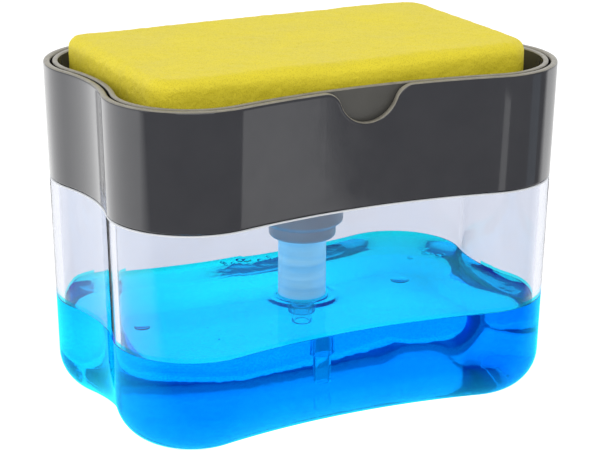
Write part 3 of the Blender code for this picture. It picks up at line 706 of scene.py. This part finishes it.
def floor_look():
    """Pale light table that glows most under the tank. Glossy pieces see it dark in front, bright behind."""
    look, tree, shader = new_look("pale_floor")
    place = add_node(tree, "TexCoord").outputs["Object"]
    reach = vector_step(tree, "LENGTH", place).outputs["Value"]
    feed(
        shader, Base_Color=blend_colours(tree, field(tree, 12, 3), (0.5, 0.5, 0.5), (0.52, 0.52, 0.52)),
        Roughness=0.9, Specular_IOR_Level=0.0, Emission_Color=WHITE,
        Emission_Strength=span(tree, reach, *GLOW_REACH, FLOOR_GLOW[1], FLOOR_GLOW[0]),
    )
    front = front_share(tree, place, FLOOR_TURN)
    heading = vector_step(tree, "NORMALIZE", place).outputs["Vector"]
    backward = vector_step(tree, "DOT_PRODUCT", heading, DARK_HEADING).outputs["Value"]
    behind = span(tree, backward, *DARK_SPREAD, *MIRRORED_FLOOR[1:])
    dimmed = fade_to(tree, front, behind, MIRRORED_FLOOR[0])
    seen = add_node(tree, "Emission", Color=WHITE, Strength=dimmed)
    share = mirrored(tree, front)
    mix_shaders(tree, share, shader.outputs["BSDF"], seen.outputs["Emission"], "Material Output")
    return look


GREY = moulded(
    "collar_grey_plastic", ((0.039, 0.0395, 0.045), (0.044, 0.0445, 0.05)),
    rough=(0.06, 0.12), grain=(0.00004, 0.000003),
)
# Light beige of the rims: a painted highlight along their rounded edges
RIM_HIGHLIGHT = moulded(
    "rim_painted_highlight", ((0.2, 0.185, 0.15), (0.27, 0.25, 0.2)),
    rough=(0.3, 0.45), grain=(0.00004, 0.000003), scale=300,
)
TRAY_GREY = moulded(
    "tray_grey_plastic", ((0.072, 0.07, 0.064), (0.082, 0.08, 0.073)),
    rough=(0.12, 0.22), grain=(0.00004, 0.000005),
)
CLOSURE_GREY = moulded(
    "closure_grey_plastic", ((0.53, 0.57, 0.65), (0.61, 0.65, 0.71)),
    rough=(0.3, 0.42), grain=(0.00003, 0.00001),
)
PUMP_WHITE = moulded(
    "pump_white_plastic", ((0.6, 0.62, 0.64), (0.68, 0.7, 0.72)),
    rough=(0.32, 0.45), grain=(0.00002, 0.00001),
)
RUBBER = moulded(
    "seal_soft_rubber", ((0.6, 0.6, 0.57), (0.7, 0.7, 0.67)),
    rough=(0.6, 0.8), grain=(0.00002, 0.00002),
)
CLEAR = clear_look()
SOAP = soap_look()
WETTED = wetted_look("tank_wetted_plastic", WET_TINTS)
FOOT = wetted_look("tank_foot_plastic", FOOT_TINTS)
# Light grey on the tank's shoulder edge: a painted highlight, the thin white line under the collar
EDGE_HIGHLIGHT = moulded(
    "tank_edge_painted_highlight", ((0.62, 0.64, 0.67), (0.7, 0.72, 0.75)),
    rough=(0.35, 0.5), grain=(0.00002, 0.000003),
)
# The housing's blue tint and its glow are painted light, the blue of the soap lighting it from below
MILKY_PAINTED_GLOW = milky_look(
    "housing_milky_painted_glow", ((0.32, 0.74, 0.97), (0.54, 0.87, 1.0)),
    clear=0.6, rough=0.42, bend=1.25, glow=0.24,
)
NIPPLE = milky_look(
    "inlet_milky_plastic", ((0.4, 0.92, 1.0), (0.5, 0.96, 1.0)),
    clear=0.85, rough=0.08, bend=1.1,
)
# The tube's faint glow is painted light as well
TUBE = milky_look(
    "tube_clear_plastic", ((0.74, 0.93, 1.0), (0.82, 0.96, 1.0)),
    clear=0.93, rough=0.05, bend=1.12, glow=0.06,
)
STEEL = steel_look("spring_drawn_steel", 0.22, (1, 1, 6))
BALL = steel_look("ball_polished_steel", 0.06, (1, 1, 1))
FOAM = foam_look()


# Pieces
def notch_columns():
    """Columns of the collar's front across the finger notch.

    Each has its place along x, the edge's height there and the edge's inward side.
    """
    centre = RIM_HEIGHT - NOTCH_DEPTH + NOTCH_RADIUS
    shoulder = RIM_HEIGHT - NOTCH_SHOULDER
    reach = math.sqrt((NOTCH_RADIUS + NOTCH_SHOULDER) ** 2 - (shoulder - centre) ** 2)
    turn = math.atan2(shoulder - centre, reach)
    low_steps = round(NOTCH_RADIUS * (turn + math.pi / 2) / NOTCH_STEP)
    high_steps = round(NOTCH_SHOULDER * (turn + math.pi / 2) / NOTCH_STEP)
    half = []
    for step in range(low_steps + 1):
        angle = -math.pi / 2 + (turn + math.pi / 2) * step / low_steps
        side = (math.cos(angle), math.sin(angle))
        half.append((NOTCH_RADIUS * side[0], centre + NOTCH_RADIUS * side[1], *side))
    for step in range(1, high_steps + 1):
        angle = math.pi + turn + (-math.pi / 2 - turn) * step / high_steps
        side = (math.cos(angle), math.sin(angle))
        place = (reach + NOTCH_SHOULDER * side[0], shoulder + NOTCH_SHOULDER * side[1])
        half.append((*place, -side[0], -side[1]))
    half.append((NOTCH_HALF, RIM_HEIGHT, 0, -1))
    return [(-x, z, -u, w) for x, z, u, w in reversed(half[1:])] + half


def collar_columns():
    """The outline's columns, with the front's middle ones changed for those of the notch."""
    columns = []
    placed = False
    for column in plan_columns():
        x, y, _ = column_place(column, 0, 0)
        if y < 0 and abs(x) < NOTCH_HALF + NOTCH_ROOM:
            if not placed:
                columns += [(None, *notch) for notch in notch_columns()]
                placed = True
            continue
        columns.append(column)
    return columns


def front_place(x, inset, height):
    """Point of the front side's arc at a place along x."""
    return x, math.sqrt((SIDE_ARC + inset) ** 2 - x**2) - SIDE_CENTRE, height


def collar_ring(columns, wall_inset, height, drop=None):
    """Ring of the collar at a height, or at a drop under its edge, at an inset from the outer wall."""
    ring = []
    for column in columns:
        if column[0] is None:
            _, x, edge, side_x, side_z = column
            level = height
            if drop is not None:
                x, level = x + drop * side_x, edge + drop * side_z
            ring.append(front_place(x, lean(level) + wall_inset, level))
        else:
            level = height if drop is None else RIM_HEIGHT - drop
            ring.append(column_place(column, lean(level) + wall_inset, level))
    return ring


def collar_circle(columns, radius, height):
    """The collar's columns led in to a circle."""
    return led_in(collar_ring(columns, 0, height), radius, height)


def seat_on_wall(columns, ring):
    """Ring with all its points put back on the curved outer wall."""
    seated = []
    for column, (x, y, z) in zip(columns, ring):
        if column[0] is None:
            seated.append(front_place(x, lean(z), z))
        else:
            seated.append(column_place(column, lean(z), z))
    return seated


def paint_rings(piece, look, count, start, end):
    """Gives the faces between two rings of a loft a material of their own."""
    piece.data.materials.append(look)
    index = np.zeros(len(piece.data.polygons), np.int32)
    piece.data.polygons.foreach_get("material_index", index)
    index[start * count:end * count] = len(piece.data.materials) - 1
    piece.data.polygons.foreach_set("material_index", index)


def finish_piece(piece, body, slot, *nodes):
    """Hangs a piece on its body and says which solids it stands for, by hiding them. Its slot is not used."""
    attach(piece, body)
    if nodes:
        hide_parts(*nodes)


def make_collar():
    """Grey collar: lip, leaning wall, rounded rim with the finger notch, deck and neck."""
    columns = collar_columns()
    lip = [
        (COLLAR_LIP, DECK_UNDER, 0), (COLLAR_LIP, COLLAR_EDGE, FINE_ROUND), (0, COLLAR_EDGE, SOFT_ROUND),
        (0, FAR_UP, 0),
    ]
    rings = [collar_ring(columns, inset, height) for inset, height in rounded(lip, EDGE_STEPS)[:-1]]
    base = rings[-1]
    hold = collar_ring(columns, 0, 0, COLLAR_ROUND + HOLD)
    shares = [step / WALL_STEPS for step in range(1, WALL_STEPS)]
    rings += [seat_on_wall(columns, ring) for ring in between(base, hold, *shares)]
    rings.append(hold)
    rim = [(0, FAR_DOWN, 0), (0, 0, COLLAR_ROUND), (COLLAR_WALL, 0, COLLAR_ROUND), (COLLAR_WALL, FAR_DOWN, 0)]
    rim_start = len(rings)
    rings += [collar_ring(columns, inset, 0, drop) for inset, drop in rounded(rim)[1:-1]]
    rim_end = len(rings) - 1
    inner_hold = collar_ring(columns, COLLAR_WALL, 0, COLLAR_ROUND + HOLD)
    fillet = [(COLLAR_WALL, FAR_UP, 0), (COLLAR_WALL, DECK_TOP, COLLAR_FILLET), (FAR_IN, DECK_TOP, 0)]
    deck = [collar_ring(columns, inset, height) for inset, height in rounded(fillet)[1:-1]]
    bore = collar_circle(columns, NECK_BORE, DECK_TOP)
    rings += [inner_hold, *between(inner_hold, deck[0], 0.5), *deck, *between(deck[-1], bore, 0.35, 0.7)]
    chamfer = [(NECK_BORE + FINE_ROUND, DECK_TOP), (NECK_BORE, DECK_TOP - FINE_ROUND)]
    neck = [
        (NECK_BORE, DECK_TOP, 0), (NECK_BORE, NECK_END, TINY_ROUND), (NECK_RADIUS, NECK_END, FINE_ROUND),
        (NECK_RADIUS, DECK_UNDER, DECK_FILLET), (FAR_IN, DECK_UNDER, 0),
    ]
    for radius, height in chamfer + rounded(neck, NECK_STEPS)[1:-1]:
        rings.append(collar_circle(columns, radius, height))
    rings += between(rings[-1], rings[0], 0.4, 0.8)
    collar = loft("collar_shell", rings, GREY, True, 30)
    # The collar's rim, all but the start of its outer rounding, gets the painted highlight
    paint_rings(collar, RIM_HIGHLIGHT, len(columns), rim_start + 2, rim_end)
    finish_piece(collar, "top", "grey_plastic", "collar")


def paint_wetted(tank):
    """Gives the tank's faces at the soap, inside and on the front, left and foot, their blue looks."""
    tank.data.materials.append(WETTED)
    tank.data.materials.append(FOOT)
    centre = np.array([tuple(face.center) for face in tank.data.polygons])
    facing = np.array([tuple(face.normal) for face in tank.data.polygons])
    outward = (centre[:, :2] * facing[:, :2]).sum(axis=1)
    inside = (outward < 0) | ((facing[:, 2] > FLAT_FACING) & (centre[:, 2] < FLOOR_ZONE))
    soap_line = SOAP_HEIGHT + MENISCUS_HEIGHT
    wet = inside & (centre[:, 2] < soap_line)
    low = (centre[:, 2] > WET_FOOT) & (centre[:, 2] < soap_line + WET_RISE)
    foot = ~inside & low & ((centre[:, 0] < -CORNER_X) | (centre[:, 1] < 0))
    foot |= (facing[:, 2] < -FLAT_FACING) & (centre[:, 2] < FOOT_FILLET)
    tank.data.polygons.foreach_set("material_index", np.where(foot, 2, wet).astype(np.int32))


def make_tank():
    """Clear tank with a rounded foot, a shoulder for the collar and a thin lip."""
    columns = plan_columns()
    soap_line = SOAP_HEIGHT + MENISCUS_HEIGHT
    underside = ring_at(columns, lean(0) + FOOT_FILLET, 0)
    rings = [inward(underside, share) for share in FLOOR_SHARES]
    foot = [(TANK_MIDST, 0, 0), (0, 0, FOOT_FILLET), (0, WALL_HIGH, 0)]
    rings += wall_rings(columns, rounded(foot, FOOT_STEPS)[1:-1])
    heights = (WALL_LOW, soap_line + WET_RISE, WALL_MIDDLE, WALL_HIGH)
    rings += wall_rings(columns, [(0, height) for height in heights])
    step = TANK_WALL - TANK_LIP
    head = [
        (0, WALL_HIGH, 0), (0, TANK_SHOULDER, SHOULDER_ROUND), (step, TANK_SHOULDER, FINE_ROUND),
        (step, TANK_TOP, FINE_ROUND), (TANK_WALL, TANK_TOP, FINE_ROUND), (TANK_WALL, WALL_HIGH, 0),
    ]
    edge_start = len(rings)
    rings += wall_rings(columns, rounded(head, EDGE_STEPS)[1:-1])
    heights = (WALL_HIGH, WALL_MIDDLE, soap_line, WALL_LOW)
    rings += wall_rings(columns, [(TANK_WALL, height) for height in heights])
    room = [
        (TANK_WALL, WALL_HIGH, 0), (TANK_WALL, TANK_FLOOR, FOOT_FILLET - TANK_WALL),
        (TANK_MIDST, TANK_FLOOR, 0),
    ]
    rings += wall_rings(columns, rounded(room, FOOT_STEPS)[1:-1])
    rings += [inward(rings[-1], share) for share in reversed(FLOOR_SHARES)]
    tank = loft("tank_shell", rings, CLEAR, False, 40)
    paint_wetted(tank)
    # The shoulder's outer rounding gets the painted highlight
    paint_rings(tank, EDGE_HIGHLIGHT, len(columns), edge_start, edge_start + EDGE_STEPS)
    finish_piece(tank, "base", "clear_plastic", "tank")


def surface_height(x, y, wall_distance):
    """Height of the soap's surface: it climbs at the walls and round the pump, and is slightly uneven."""
    height = SOAP_HEIGHT + MENISCUS_HEIGHT * math.exp(-max(wall_distance, 0) / MENISCUS_LENGTH)
    reach = math.hypot(x, y)
    height += PUMP_RING_HEIGHT * math.exp(-(reach - HOUSING_RADIUS) / PUMP_RING_LENGTH)
    height += RING_WAVE_HEIGHT * math.exp(-((reach - RING_WAVE_RADIUS) / RING_WAVE_WIDTH) ** 2)
    swell = noise.noise(Vector((x * SWELL_SCALE[0], y * SWELL_SCALE[1], SWELL_SCALE[2])))
    return height + SWELL_HEIGHT * swell


def make_soap():
    """The soap: a closed body that laps a little into the tank, curved up at the walls and the pump."""
    columns = plan_columns()
    side = TANK_WALL - SOAP_LAP
    base = TANK_FLOOR - SOAP_LAP
    room = [(TANK_MIDST, base, 0), (side, base, FOOT_FILLET - TANK_WALL + SOAP_LAP), (side, WALL_HIGH, 0)]
    rings = wall_rings(columns, rounded(room, FOOT_STEPS)[1:-1])
    rings = [inward(rings[0], share) for share in FLOOR_SHARES] + rings
    rings += wall_rings(columns, [(side, WALL_LOW), (side, SOAP_HEIGHT + MENISCUS_HEIGHT)])
    wall = lean(SOAP_HEIGHT) + TANK_WALL
    plan = [(distance, ring_at(columns, wall + distance, 0)) for distance in WALL_RINGS]
    shares = [step / OPEN_STEPS for step in range(1, OPEN_STEPS + 1)]
    middle = between(plan[-1][1], circle_at(columns, OPEN_END, 0), *shares)
    plan += [(WALL_RINGS[-1] + OPEN_WIDTH * share, ring) for share, ring in zip(shares, middle)]
    plan += [(FAR_FROM_WALL, circle_at(columns, radius, 0)) for radius in PUMP_RINGS]
    for distance, ring in plan:
        rings.append([(x, y, surface_height(x, y, distance)) for x, y, _ in ring])
    soap = loft("soap_body", rings, SOAP, False, 60)
    finish_piece(soap, "base", "blue_soap", "liquid_soap")


def make_bubbles():
    """Small bubbles on the soap: a few at the wall behind and on the right, two single ones and specks."""
    rng = random.Random(7)
    spots = list(SINGLE_BUBBLES)
    for count, across, back, radii in BUBBLE_GROUPS:
        for _ in range(count):
            spots.append((rng.uniform(*across), rng.uniform(*back), rng.uniform(*radii), BUBBLE_FLATNESS))
    shape = bmesh.new()
    for x, y, radius, flat in spots:
        height = SOAP_HEIGHT + BUBBLE_RISE * radius * flat
        place = Matrix.Translation((x, y, height)) @ Matrix.Diagonal((1, 1, flat, 1))
        bmesh.ops.create_icosphere(shape, subdivisions=3, radius=radius, matrix=place)
    mesh = bpy.data.meshes.new("soap_bubbles")
    shape.to_mesh(mesh)
    shape.free()
    mesh.materials.append(SOAP)
    mesh.shade_smooth()
    finish_piece(place_object("soap_bubbles", mesh), "base", "blue_soap")


def make_tray():
    """Press tray: shell with a rounded rim, drain ribs, the soap's outlet ring and the boss."""
    columns = plan_columns()
    side = COLLAR_WALL + TRAY_SIDE_GAP
    section = [
        (FAR_IN, TRAY_UNDER, 0), (side, TRAY_UNDER, TRAY_FILLET), (side, RIM_HEIGHT, TRAY_ROUND),
        (side + TRAY_WALL, RIM_HEIGHT, TRAY_ROUND), (side + TRAY_WALL, TRAY_FLOOR_TOP, TRAY_FILLET),
        (FAR_IN, TRAY_FLOOR_TOP, 0),
    ]
    shell = wall_rings(columns, rounded(section)[1:-1])
    hole = circle_at(columns, OUTLET_RADIUS, TRAY_UNDER)
    top = circle_at(columns, OUTLET_RADIUS, TRAY_FLOOR_TOP)
    rings = [hole, *between(hole, shell[0], 0.3, 0.65)]
    rim_start = len(rings) + ROUND_STEPS + 1
    rings += [*shell, *between(shell[-1], top, 0.35, 0.7), top]
    tray = loft("tray_shell", rings, TRAY_GREY, True, 30)
    finish_piece(tray, "tray", "tray_plastic", "tray")
    # The tray's rim gets the painted highlight too
    paint_rings(tray, RIM_HIGHLIGHT, len(columns), rim_start + 1, rim_start + 2 * ROUND_STEPS)

    verts, faces = [], []
    for k in range(RIBS):
        add_rib(verts, faces, RIB_PITCH * (k + 0.5 - RIBS / 2))
    finish_piece(make_piece("tray_ribs", verts, faces, TRAY_GREY), "tray", "tray_plastic")
    low = TRAY_FLOOR_TOP - SINK
    high = TRAY_FLOOR_TOP + RIB_HEIGHT
    ring = [
        (OUTLET_RING + SINK, low, 0), (OUTLET_RING, TRAY_FLOOR_TOP + SINK, FINE_ROUND),
        (OUTLET_RING, high, SOFT_ROUND), (OUTLET_RADIUS, high, SOFT_ROUND), (OUTLET_RADIUS, low, 0),
    ]
    finish_piece(turned("tray_outlet_ring", ring, TRAY_GREY), "tray", "tray_plastic")
    boss = [
        (BOSS_RADIUS, TRAY_UNDER + SINK, 0), (BOSS_RADIUS, BOSS_END, SOFT_ROUND),
        (BOSS_BORE, BOSS_END, SOFT_ROUND), (BOSS_BORE, TRAY_UNDER + SINK, 0),
    ]
    finish_piece(turned("tray_boss", boss, TRAY_GREY), "tray", "tray_plastic")


def add_rib(verts, faces, middle):
    """Adds a drain rib with a rounded back and rounded ends at a place along x."""
    half = RIB_WIDTH / 2
    shoulder = RIB_HEIGHT - half
    section = [(-half, -SINK), (-half, shoulder)]
    for turn in range(-60, 61, 30):
        angle = math.radians(turn)
        section.append((half * math.sin(angle), shoulder + half * math.cos(angle)))
    section += [(half, shoulder), (half, -SINK)]
    end = []
    for step in range(RIB_END_STEPS + 1):
        angle = math.pi / 2 * step / RIB_END_STEPS
        end.append((-RIB_LENGTH / 2 + half * (1 - math.cos(angle)), max(math.sin(angle), RIB_TIP_SHARE)))
    stations = end + [(-place, share) for place, share in reversed(end)]
    count = len(section)
    first = len(verts)
    last = first + (len(stations) - 1) * count
    for place, share in stations:
        for across, height in section:
            level = height * share if height > 0 else height
            verts.append((middle + across * share, place, TRAY_FLOOR_TOP + level))
    for start in range(first, last, count):
        faces += band(start, start + count, count)
    faces.append(tuple(range(first, first + count)))
    faces.append(tuple(range(last, last + count)))


def make_pump():
    """The pump's fixed and moving turned pieces, with softened edges."""
    closure = [
        (CLOSURE_RADIUS, TANK_TOP, FINE_ROUND), (CLOSURE_RADIUS, CLOSURE_EDGE, CLOSURE_EDGE_ROUND),
        (CLOSURE_EDGE_RADIUS, SPOUT_TOP, CLOSURE_FOOT_ROUND), (SPOUT_RADIUS, SPOUT_TOP, TINY_ROUND),
        (SPOUT_RADIUS, CLOSURE_BOTTOM, SPOUT_ROUND), (SPOUT_BORE, CLOSURE_BOTTOM, SOFT_ROUND),
        (SPOUT_BORE, CLOSURE_FLOOR_TOP, TINY_ROUND), (CLOSURE_BORE, CLOSURE_FLOOR_TOP, TINY_ROUND),
        (CLOSURE_BORE, TANK_TOP, FINE_ROUND),
    ]
    finish_piece(turned("closure_ring", closure, CLOSURE_GREY), "top", "closure_plastic", "pump_closure")
    housing = [
        (NECK_RADIUS, FLANGE_TOP, TINY_ROUND), (NECK_RADIUS, FLANGE_BOTTOM, TINY_ROUND),
        (HOUSING_RADIUS, FLANGE_BOTTOM, TINY_ROUND), (HOUSING_RADIUS, BORE_FLOOR, HOUSING_ROUND),
        (BORE_RADIUS, HOUSING_END, SOFT_ROUND), (NIPPLE_RADIUS, HOUSING_END, NIPPLE_ROUND),
        (NIPPLE_RADIUS, NIPPLE_BOTTOM, FINE_ROUND), (SOCKET_RADIUS, NIPPLE_BOTTOM, TINY_ROUND),
        (SOCKET_RADIUS, SOCKET_TOP, 0), (INLET_THROAT, SOCKET_TOP, 0), (INLET_THROAT, INLET_SEAT, 0),
        (INLET_CHAMBER, INLET_CHAMBER_FLOOR, 0), (INLET_CHAMBER, BORE_FLOOR, 0), (BORE_RADIUS, BORE_FLOOR, 0),
        (BORE_RADIUS, FLANGE_TOP, TINY_ROUND),
    ]
    cylinder = turned("housing_cylinder", housing, MILKY_PAINTED_GLOW)
    finish_piece(cylinder, "top", "milky_plastic", "pump_housing")
    cylinder.data.materials.append(NIPPLE)
    for face in cylinder.data.polygons:
        face.material_index = int(face.center.z < NIPPLE_LOOK_TOP)
    tube = [
        (TUBE_RADIUS, TUBE_TOP, TINY_ROUND), (TUBE_RADIUS, TUBE_END, FINE_ROUND),
        (TUBE_BORE, TUBE_END, FINE_ROUND), (TUBE_BORE, TUBE_TOP, TINY_ROUND),
    ]
    finish_piece(turned("suction_tube", tube, TUBE, TUBE_STEPS), "top", "milky_plastic", "dip_tube")
    guide = [
        (GUIDE_RADIUS, DECK_TOP, FINE_ROUND), (GUIDE_RADIUS, GUIDE_BOTTOM, FINE_ROUND),
        (STEM_HOLE, GUIDE_BOTTOM, TINY_ROUND), (STEM_HOLE, GUIDE_FLOOR_TOP, TINY_ROUND),
        (GUIDE_BORE, GUIDE_FLOOR_TOP, GUIDE_FILLET), (GUIDE_BORE, DECK_TOP, FINE_ROUND),
    ]
    finish_piece(turned("guide_cup", guide, PUMP_WHITE), "top", "pump_plastic", "stem_guide")
    stem = [
        (STEM_RADIUS, STEM_TOP, TINY_ROUND), (STEM_RADIUS, STEM_BOTTOM, TINY_ROUND),
        (STEM_BORE, STEM_BOTTOM, TINY_ROUND), (STEM_BORE, STEM_TOP, TINY_ROUND),
    ]
    finish_piece(turned("hollow_stem", stem, PUMP_WHITE, TUBE_STEPS), "plunger", "pump_plastic", "pump_stem")
    head = [
        (HEAD_RADIUS, HEAD_TOP, FINE_ROUND), (HEAD_RADIUS, HEAD_BOTTOM, FINE_ROUND),
        (STEM_HOLE, HEAD_BOTTOM, TINY_ROUND), (STEM_HOLE, HEAD_SOCKET_TOP, 0),
        (OUTLET_THROAT, HEAD_SOCKET_TOP, 0), (OUTLET_THROAT, OUTLET_SEAT, 0),
        (OUTLET_CHAMBER, OUTLET_CHAMBER_FLOOR, 0), (OUTLET_CHAMBER, OUTLET_CAGE_SEAT, 0),
        (OUTLET_CAGE_RADIUS, OUTLET_CAGE_SEAT, 0), (OUTLET_CAGE_RADIUS, HEAD_TOP, TINY_ROUND),
    ]
    finish_piece(turned("head_socket", head, PUMP_WHITE, HEAD_STEPS), "plunger", "pump_plastic", "stem_head")


def make_spring():
    """Return spring: a round wire wound in eight open turns."""
    low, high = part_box("return_spring")
    rise = high.z - low.z - 2 * WIRE_RADIUS
    count = SPRING_TURNS * SPRING_STEPS
    pitch = rise / (SPRING_TURNS * math.tau)
    verts, faces = [], []
    for k in range(count + 1):
        angle = math.tau * k / SPRING_STEPS
        x, y = SPRING_RADIUS * math.cos(angle), SPRING_RADIUS * math.sin(angle)
        centre = Vector((x, y, low.z + WIRE_RADIUS + rise * k / count))
        out = Vector((math.cos(angle), math.sin(angle), 0))
        up = Vector((-y, x, pitch)).normalized().cross(out)
        for side in range(WIRE_SIDES):
            turn = math.tau * side / WIRE_SIDES
            verts.append(tuple(centre + WIRE_RADIUS * (out * math.cos(turn) + up * math.sin(turn))))
    for k in range(count):
        faces += band(k * WIRE_SIDES, (k + 1) * WIRE_SIDES, WIRE_SIDES)
    faces.append(tuple(range(WIRE_SIDES)))
    faces.append(tuple(range(count * WIRE_SIDES, (count + 1) * WIRE_SIDES)))
    spring = make_piece("wound_spring", verts, faces, STEEL, 60)
    finish_piece(spring, "top", "spring_steel", "return_spring")
    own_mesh(spring)


def box_skin(counts):
    """Grid points on the skin of a box from -1 to 1, with their faces."""
    index, verts, faces = {}, [], []

    def vertex(place):
        if place not in index:
            index[place] = len(verts)
            verts.append([2 * place[a] / counts[a] - 1 for a in range(3)])
        return index[place]

    for axis in range(3):
        first, second = (axis + 1) % 3, (axis + 2) % 3
        for side in (0, counts[axis]):
            for i in range(counts[first]):
                for j in range(counts[second]):
                    quad = []
                    for di, dj in ((0, 0), (1, 0), (1, 1), (0, 1)):
                        place = [0, 0, 0]
                        place[axis], place[first], place[second] = side, i + di, j + dj
                        quad.append(vertex(tuple(place)))
                    faces.append(quad if side else quad[::-1])
    return np.array(verts), faces


def foam_distance(points, half):
    """Distance to the sponge's plain shape: a block with round upright corners and softer edges."""
    corner = np.where((points[:, 0] < 0) & (points[:, 1] > 0), SPONGE_SHARP_CORNER, SPONGE_CORNER)
    flat = np.abs(points[:, :2]) - (half[:2] - corner[:, None])
    plan = np.linalg.norm(np.maximum(flat, 0), axis=1) + np.minimum(flat.max(axis=1), 0) - corner
    edge = np.stack([plan + SPONGE_EDGE, np.abs(points[:, 2]) - (half[2] - SPONGE_EDGE)], axis=1)
    return np.linalg.norm(np.maximum(edge, 0), axis=1) + np.minimum(edge.max(axis=1), 0) - SPONGE_EDGE


def foam_slope(points, half):
    """Outward direction of the plain shape at each point."""
    slope = np.zeros_like(points)
    for axis in range(3):
        move = np.zeros(3)
        move[axis] = SLOPE_STEP
        slope[:, axis] = foam_distance(points + move, half) - foam_distance(points - move, half)
    return slope / np.maximum(np.linalg.norm(slope, axis=1), 1e-12)[:, None]


def foam_push(place):
    """How far the foam's skin stands out at a place: its swell and unevenness, less the pit of a cut cell."""
    swell = noise.noise(place * FOAM_SWELL[0]) * FOAM_SWELL[1]
    uneven = noise.noise(place * FOAM_UNEVEN[0]) * FOAM_UNEVEN[1]
    width, depth = FOAM_PIT
    pit = max(0.0, width - noise.voronoi(place * FOAM_CELLS)[0][0]) / width
    return swell + uneven - depth * pit


def make_sponge():
    """Foam block: soft edges, cut cells that pit its skin, and slightly uneven sides."""
    low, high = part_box("sponge")
    middle = np.array((low + high) / 2)
    half = np.array((high - low) / 2)
    counts = tuple(round(2 * h / SPONGE_PITCH) for h in half)
    points, faces = box_skin(counts)
    points = points * half
    for _ in range(SPONGE_ROUNDS):
        points -= foam_slope(points, half) * foam_distance(points, half)[:, None]
    slope = foam_slope(points, half)
    push = np.array([foam_push(Vector(place)) for place in points])
    points = points + slope * push[:, None] - slope * SPONGE_INSET
    points = np.clip(points, -half, half)
    sponge = make_piece("foam_block", (points + middle).tolist(), faces, FOAM, 180)
    finish_piece(sponge, "sponge", "yellow_foam", "sponge")


def dress_nodes():
    """Materials of the small solids that stay as the model has them."""
    for name, look in (
        ("closure_gasket", RUBBER), ("inlet_cage", PUMP_WHITE), ("inlet_ball", BALL), ("piston", PUMP_WHITE),
        ("piston_seal", RUBBER), ("outlet_cage", PUMP_WHITE), ("outlet_ball", BALL),
    ):
        mesh = NODES[name].data
        mesh.materials.clear()
        mesh.materials.append(look)
        mesh.shade_smooth()
        mesh.set_sharp_from_angle(angle=math.radians(SHARP_ANGLE))


# Camera, floor and light
def make_camera():
    """The camera at the photograph's angle."""
    reach = math.cos(ELEVATION)
    back = Vector((math.sin(AZIMUTH) * reach, -math.cos(AZIMUTH) * reach, math.sin(ELEVATION)))
    right = Vector((math.cos(AZIMUTH), math.sin(AZIMUTH), 0))
    up = back.cross(right)
    level = math.cos(ROLL) * right + math.sin(ROLL) * up
    upright = math.cos(ROLL) * up - math.sin(ROLL) * right
    place = TARGET + back * DISTANCE + level * SLIDE[0] + upright * SLIDE[1]
    lens = bpy.data.cameras.new("camera")
    lens.lens = LENS
    lens.sensor_width = 36
    lens.clip_start = 0.01
    lens.clip_end = 20
    camera = place_object("camera", lens)
    camera.matrix_world = Matrix.Translation(place) @ Matrix((level, upright, back)).transposed().to_4x4()
    bpy.context.scene.camera = camera


def make_floor():
    """A wide pale floor."""
    shape = bmesh.new()
    bmesh.ops.create_circle(shape, cap_ends=True, segments=96, radius=FLOOR_RADIUS)
    mesh = bpy.data.meshes.new("floor")
    shape.to_mesh(mesh)
    shape.free()
    mesh.materials.append(floor_look())
    floor = place_object("floor", mesh)
    floor.location.z = -FLOOR_DROP


def make_panel(name, place, aim, size, radiance, colour):
    """A soft light panel that faces a point, with a given brightness and colour of its face."""
    light = bpy.data.lights.new(name, "AREA")
    light.shape = "RECTANGLE"
    light.size, light.size_y = size
    light.energy = radiance * math.pi * size[0] * size[1]
    light.color = colour
    lamp = place_object(name, light)
    lamp.location = place
    lamp.rotation_mode = "QUATERNION"
    lamp.rotation_quaternion = (Vector(aim) - Vector(place)).to_track_quat("-Z", "Y")
    lamp.visible_camera = False
    lamp.visible_transmission = False


def make_light():
    """White surroundings, dimmer in front and more so in a mirror there, and the soft panels in front."""
    world = bpy.data.worlds.new("studio")
    bpy.context.scene.world = world
    world.use_nodes = True
    tree = world.node_tree
    heading = add_node(tree, "TexCoord").outputs["Generated"]
    front = front_share(tree, heading, ROOM_TURN)
    rise = vector_step(tree, "DOT_PRODUCT", heading, (0, 0, 1)).outputs["Value"]
    behind = span(tree, rise, *CEILING_TURN, *ROOM_GLOW[1:])
    plain = tree.nodes["Background"]
    feed(plain, Color=WHITE, Strength=fade_to(tree, front, behind, ROOM_GLOW[0]))
    dimmed = span(tree, front, 0, 1, MIRRORED_ROOM[1], MIRRORED_ROOM[0])
    seen = add_node(tree, "Background", Color=WHITE, Strength=dimmed)
    share = mirrored(tree, front)
    mix_shaders(tree, share, plain.outputs["Background"], seen.outputs["Background"], "World Output")
    for panel in PANELS:
        make_panel(*panel)
    bpy.context.scene.view_settings.view_transform = "Standard"


make_collar()
make_tank()
make_soap()
make_bubbles()
make_tray()
make_pump()
make_spring()
make_sponge()
dress_nodes()
make_floor()
make_light()
make_camera()
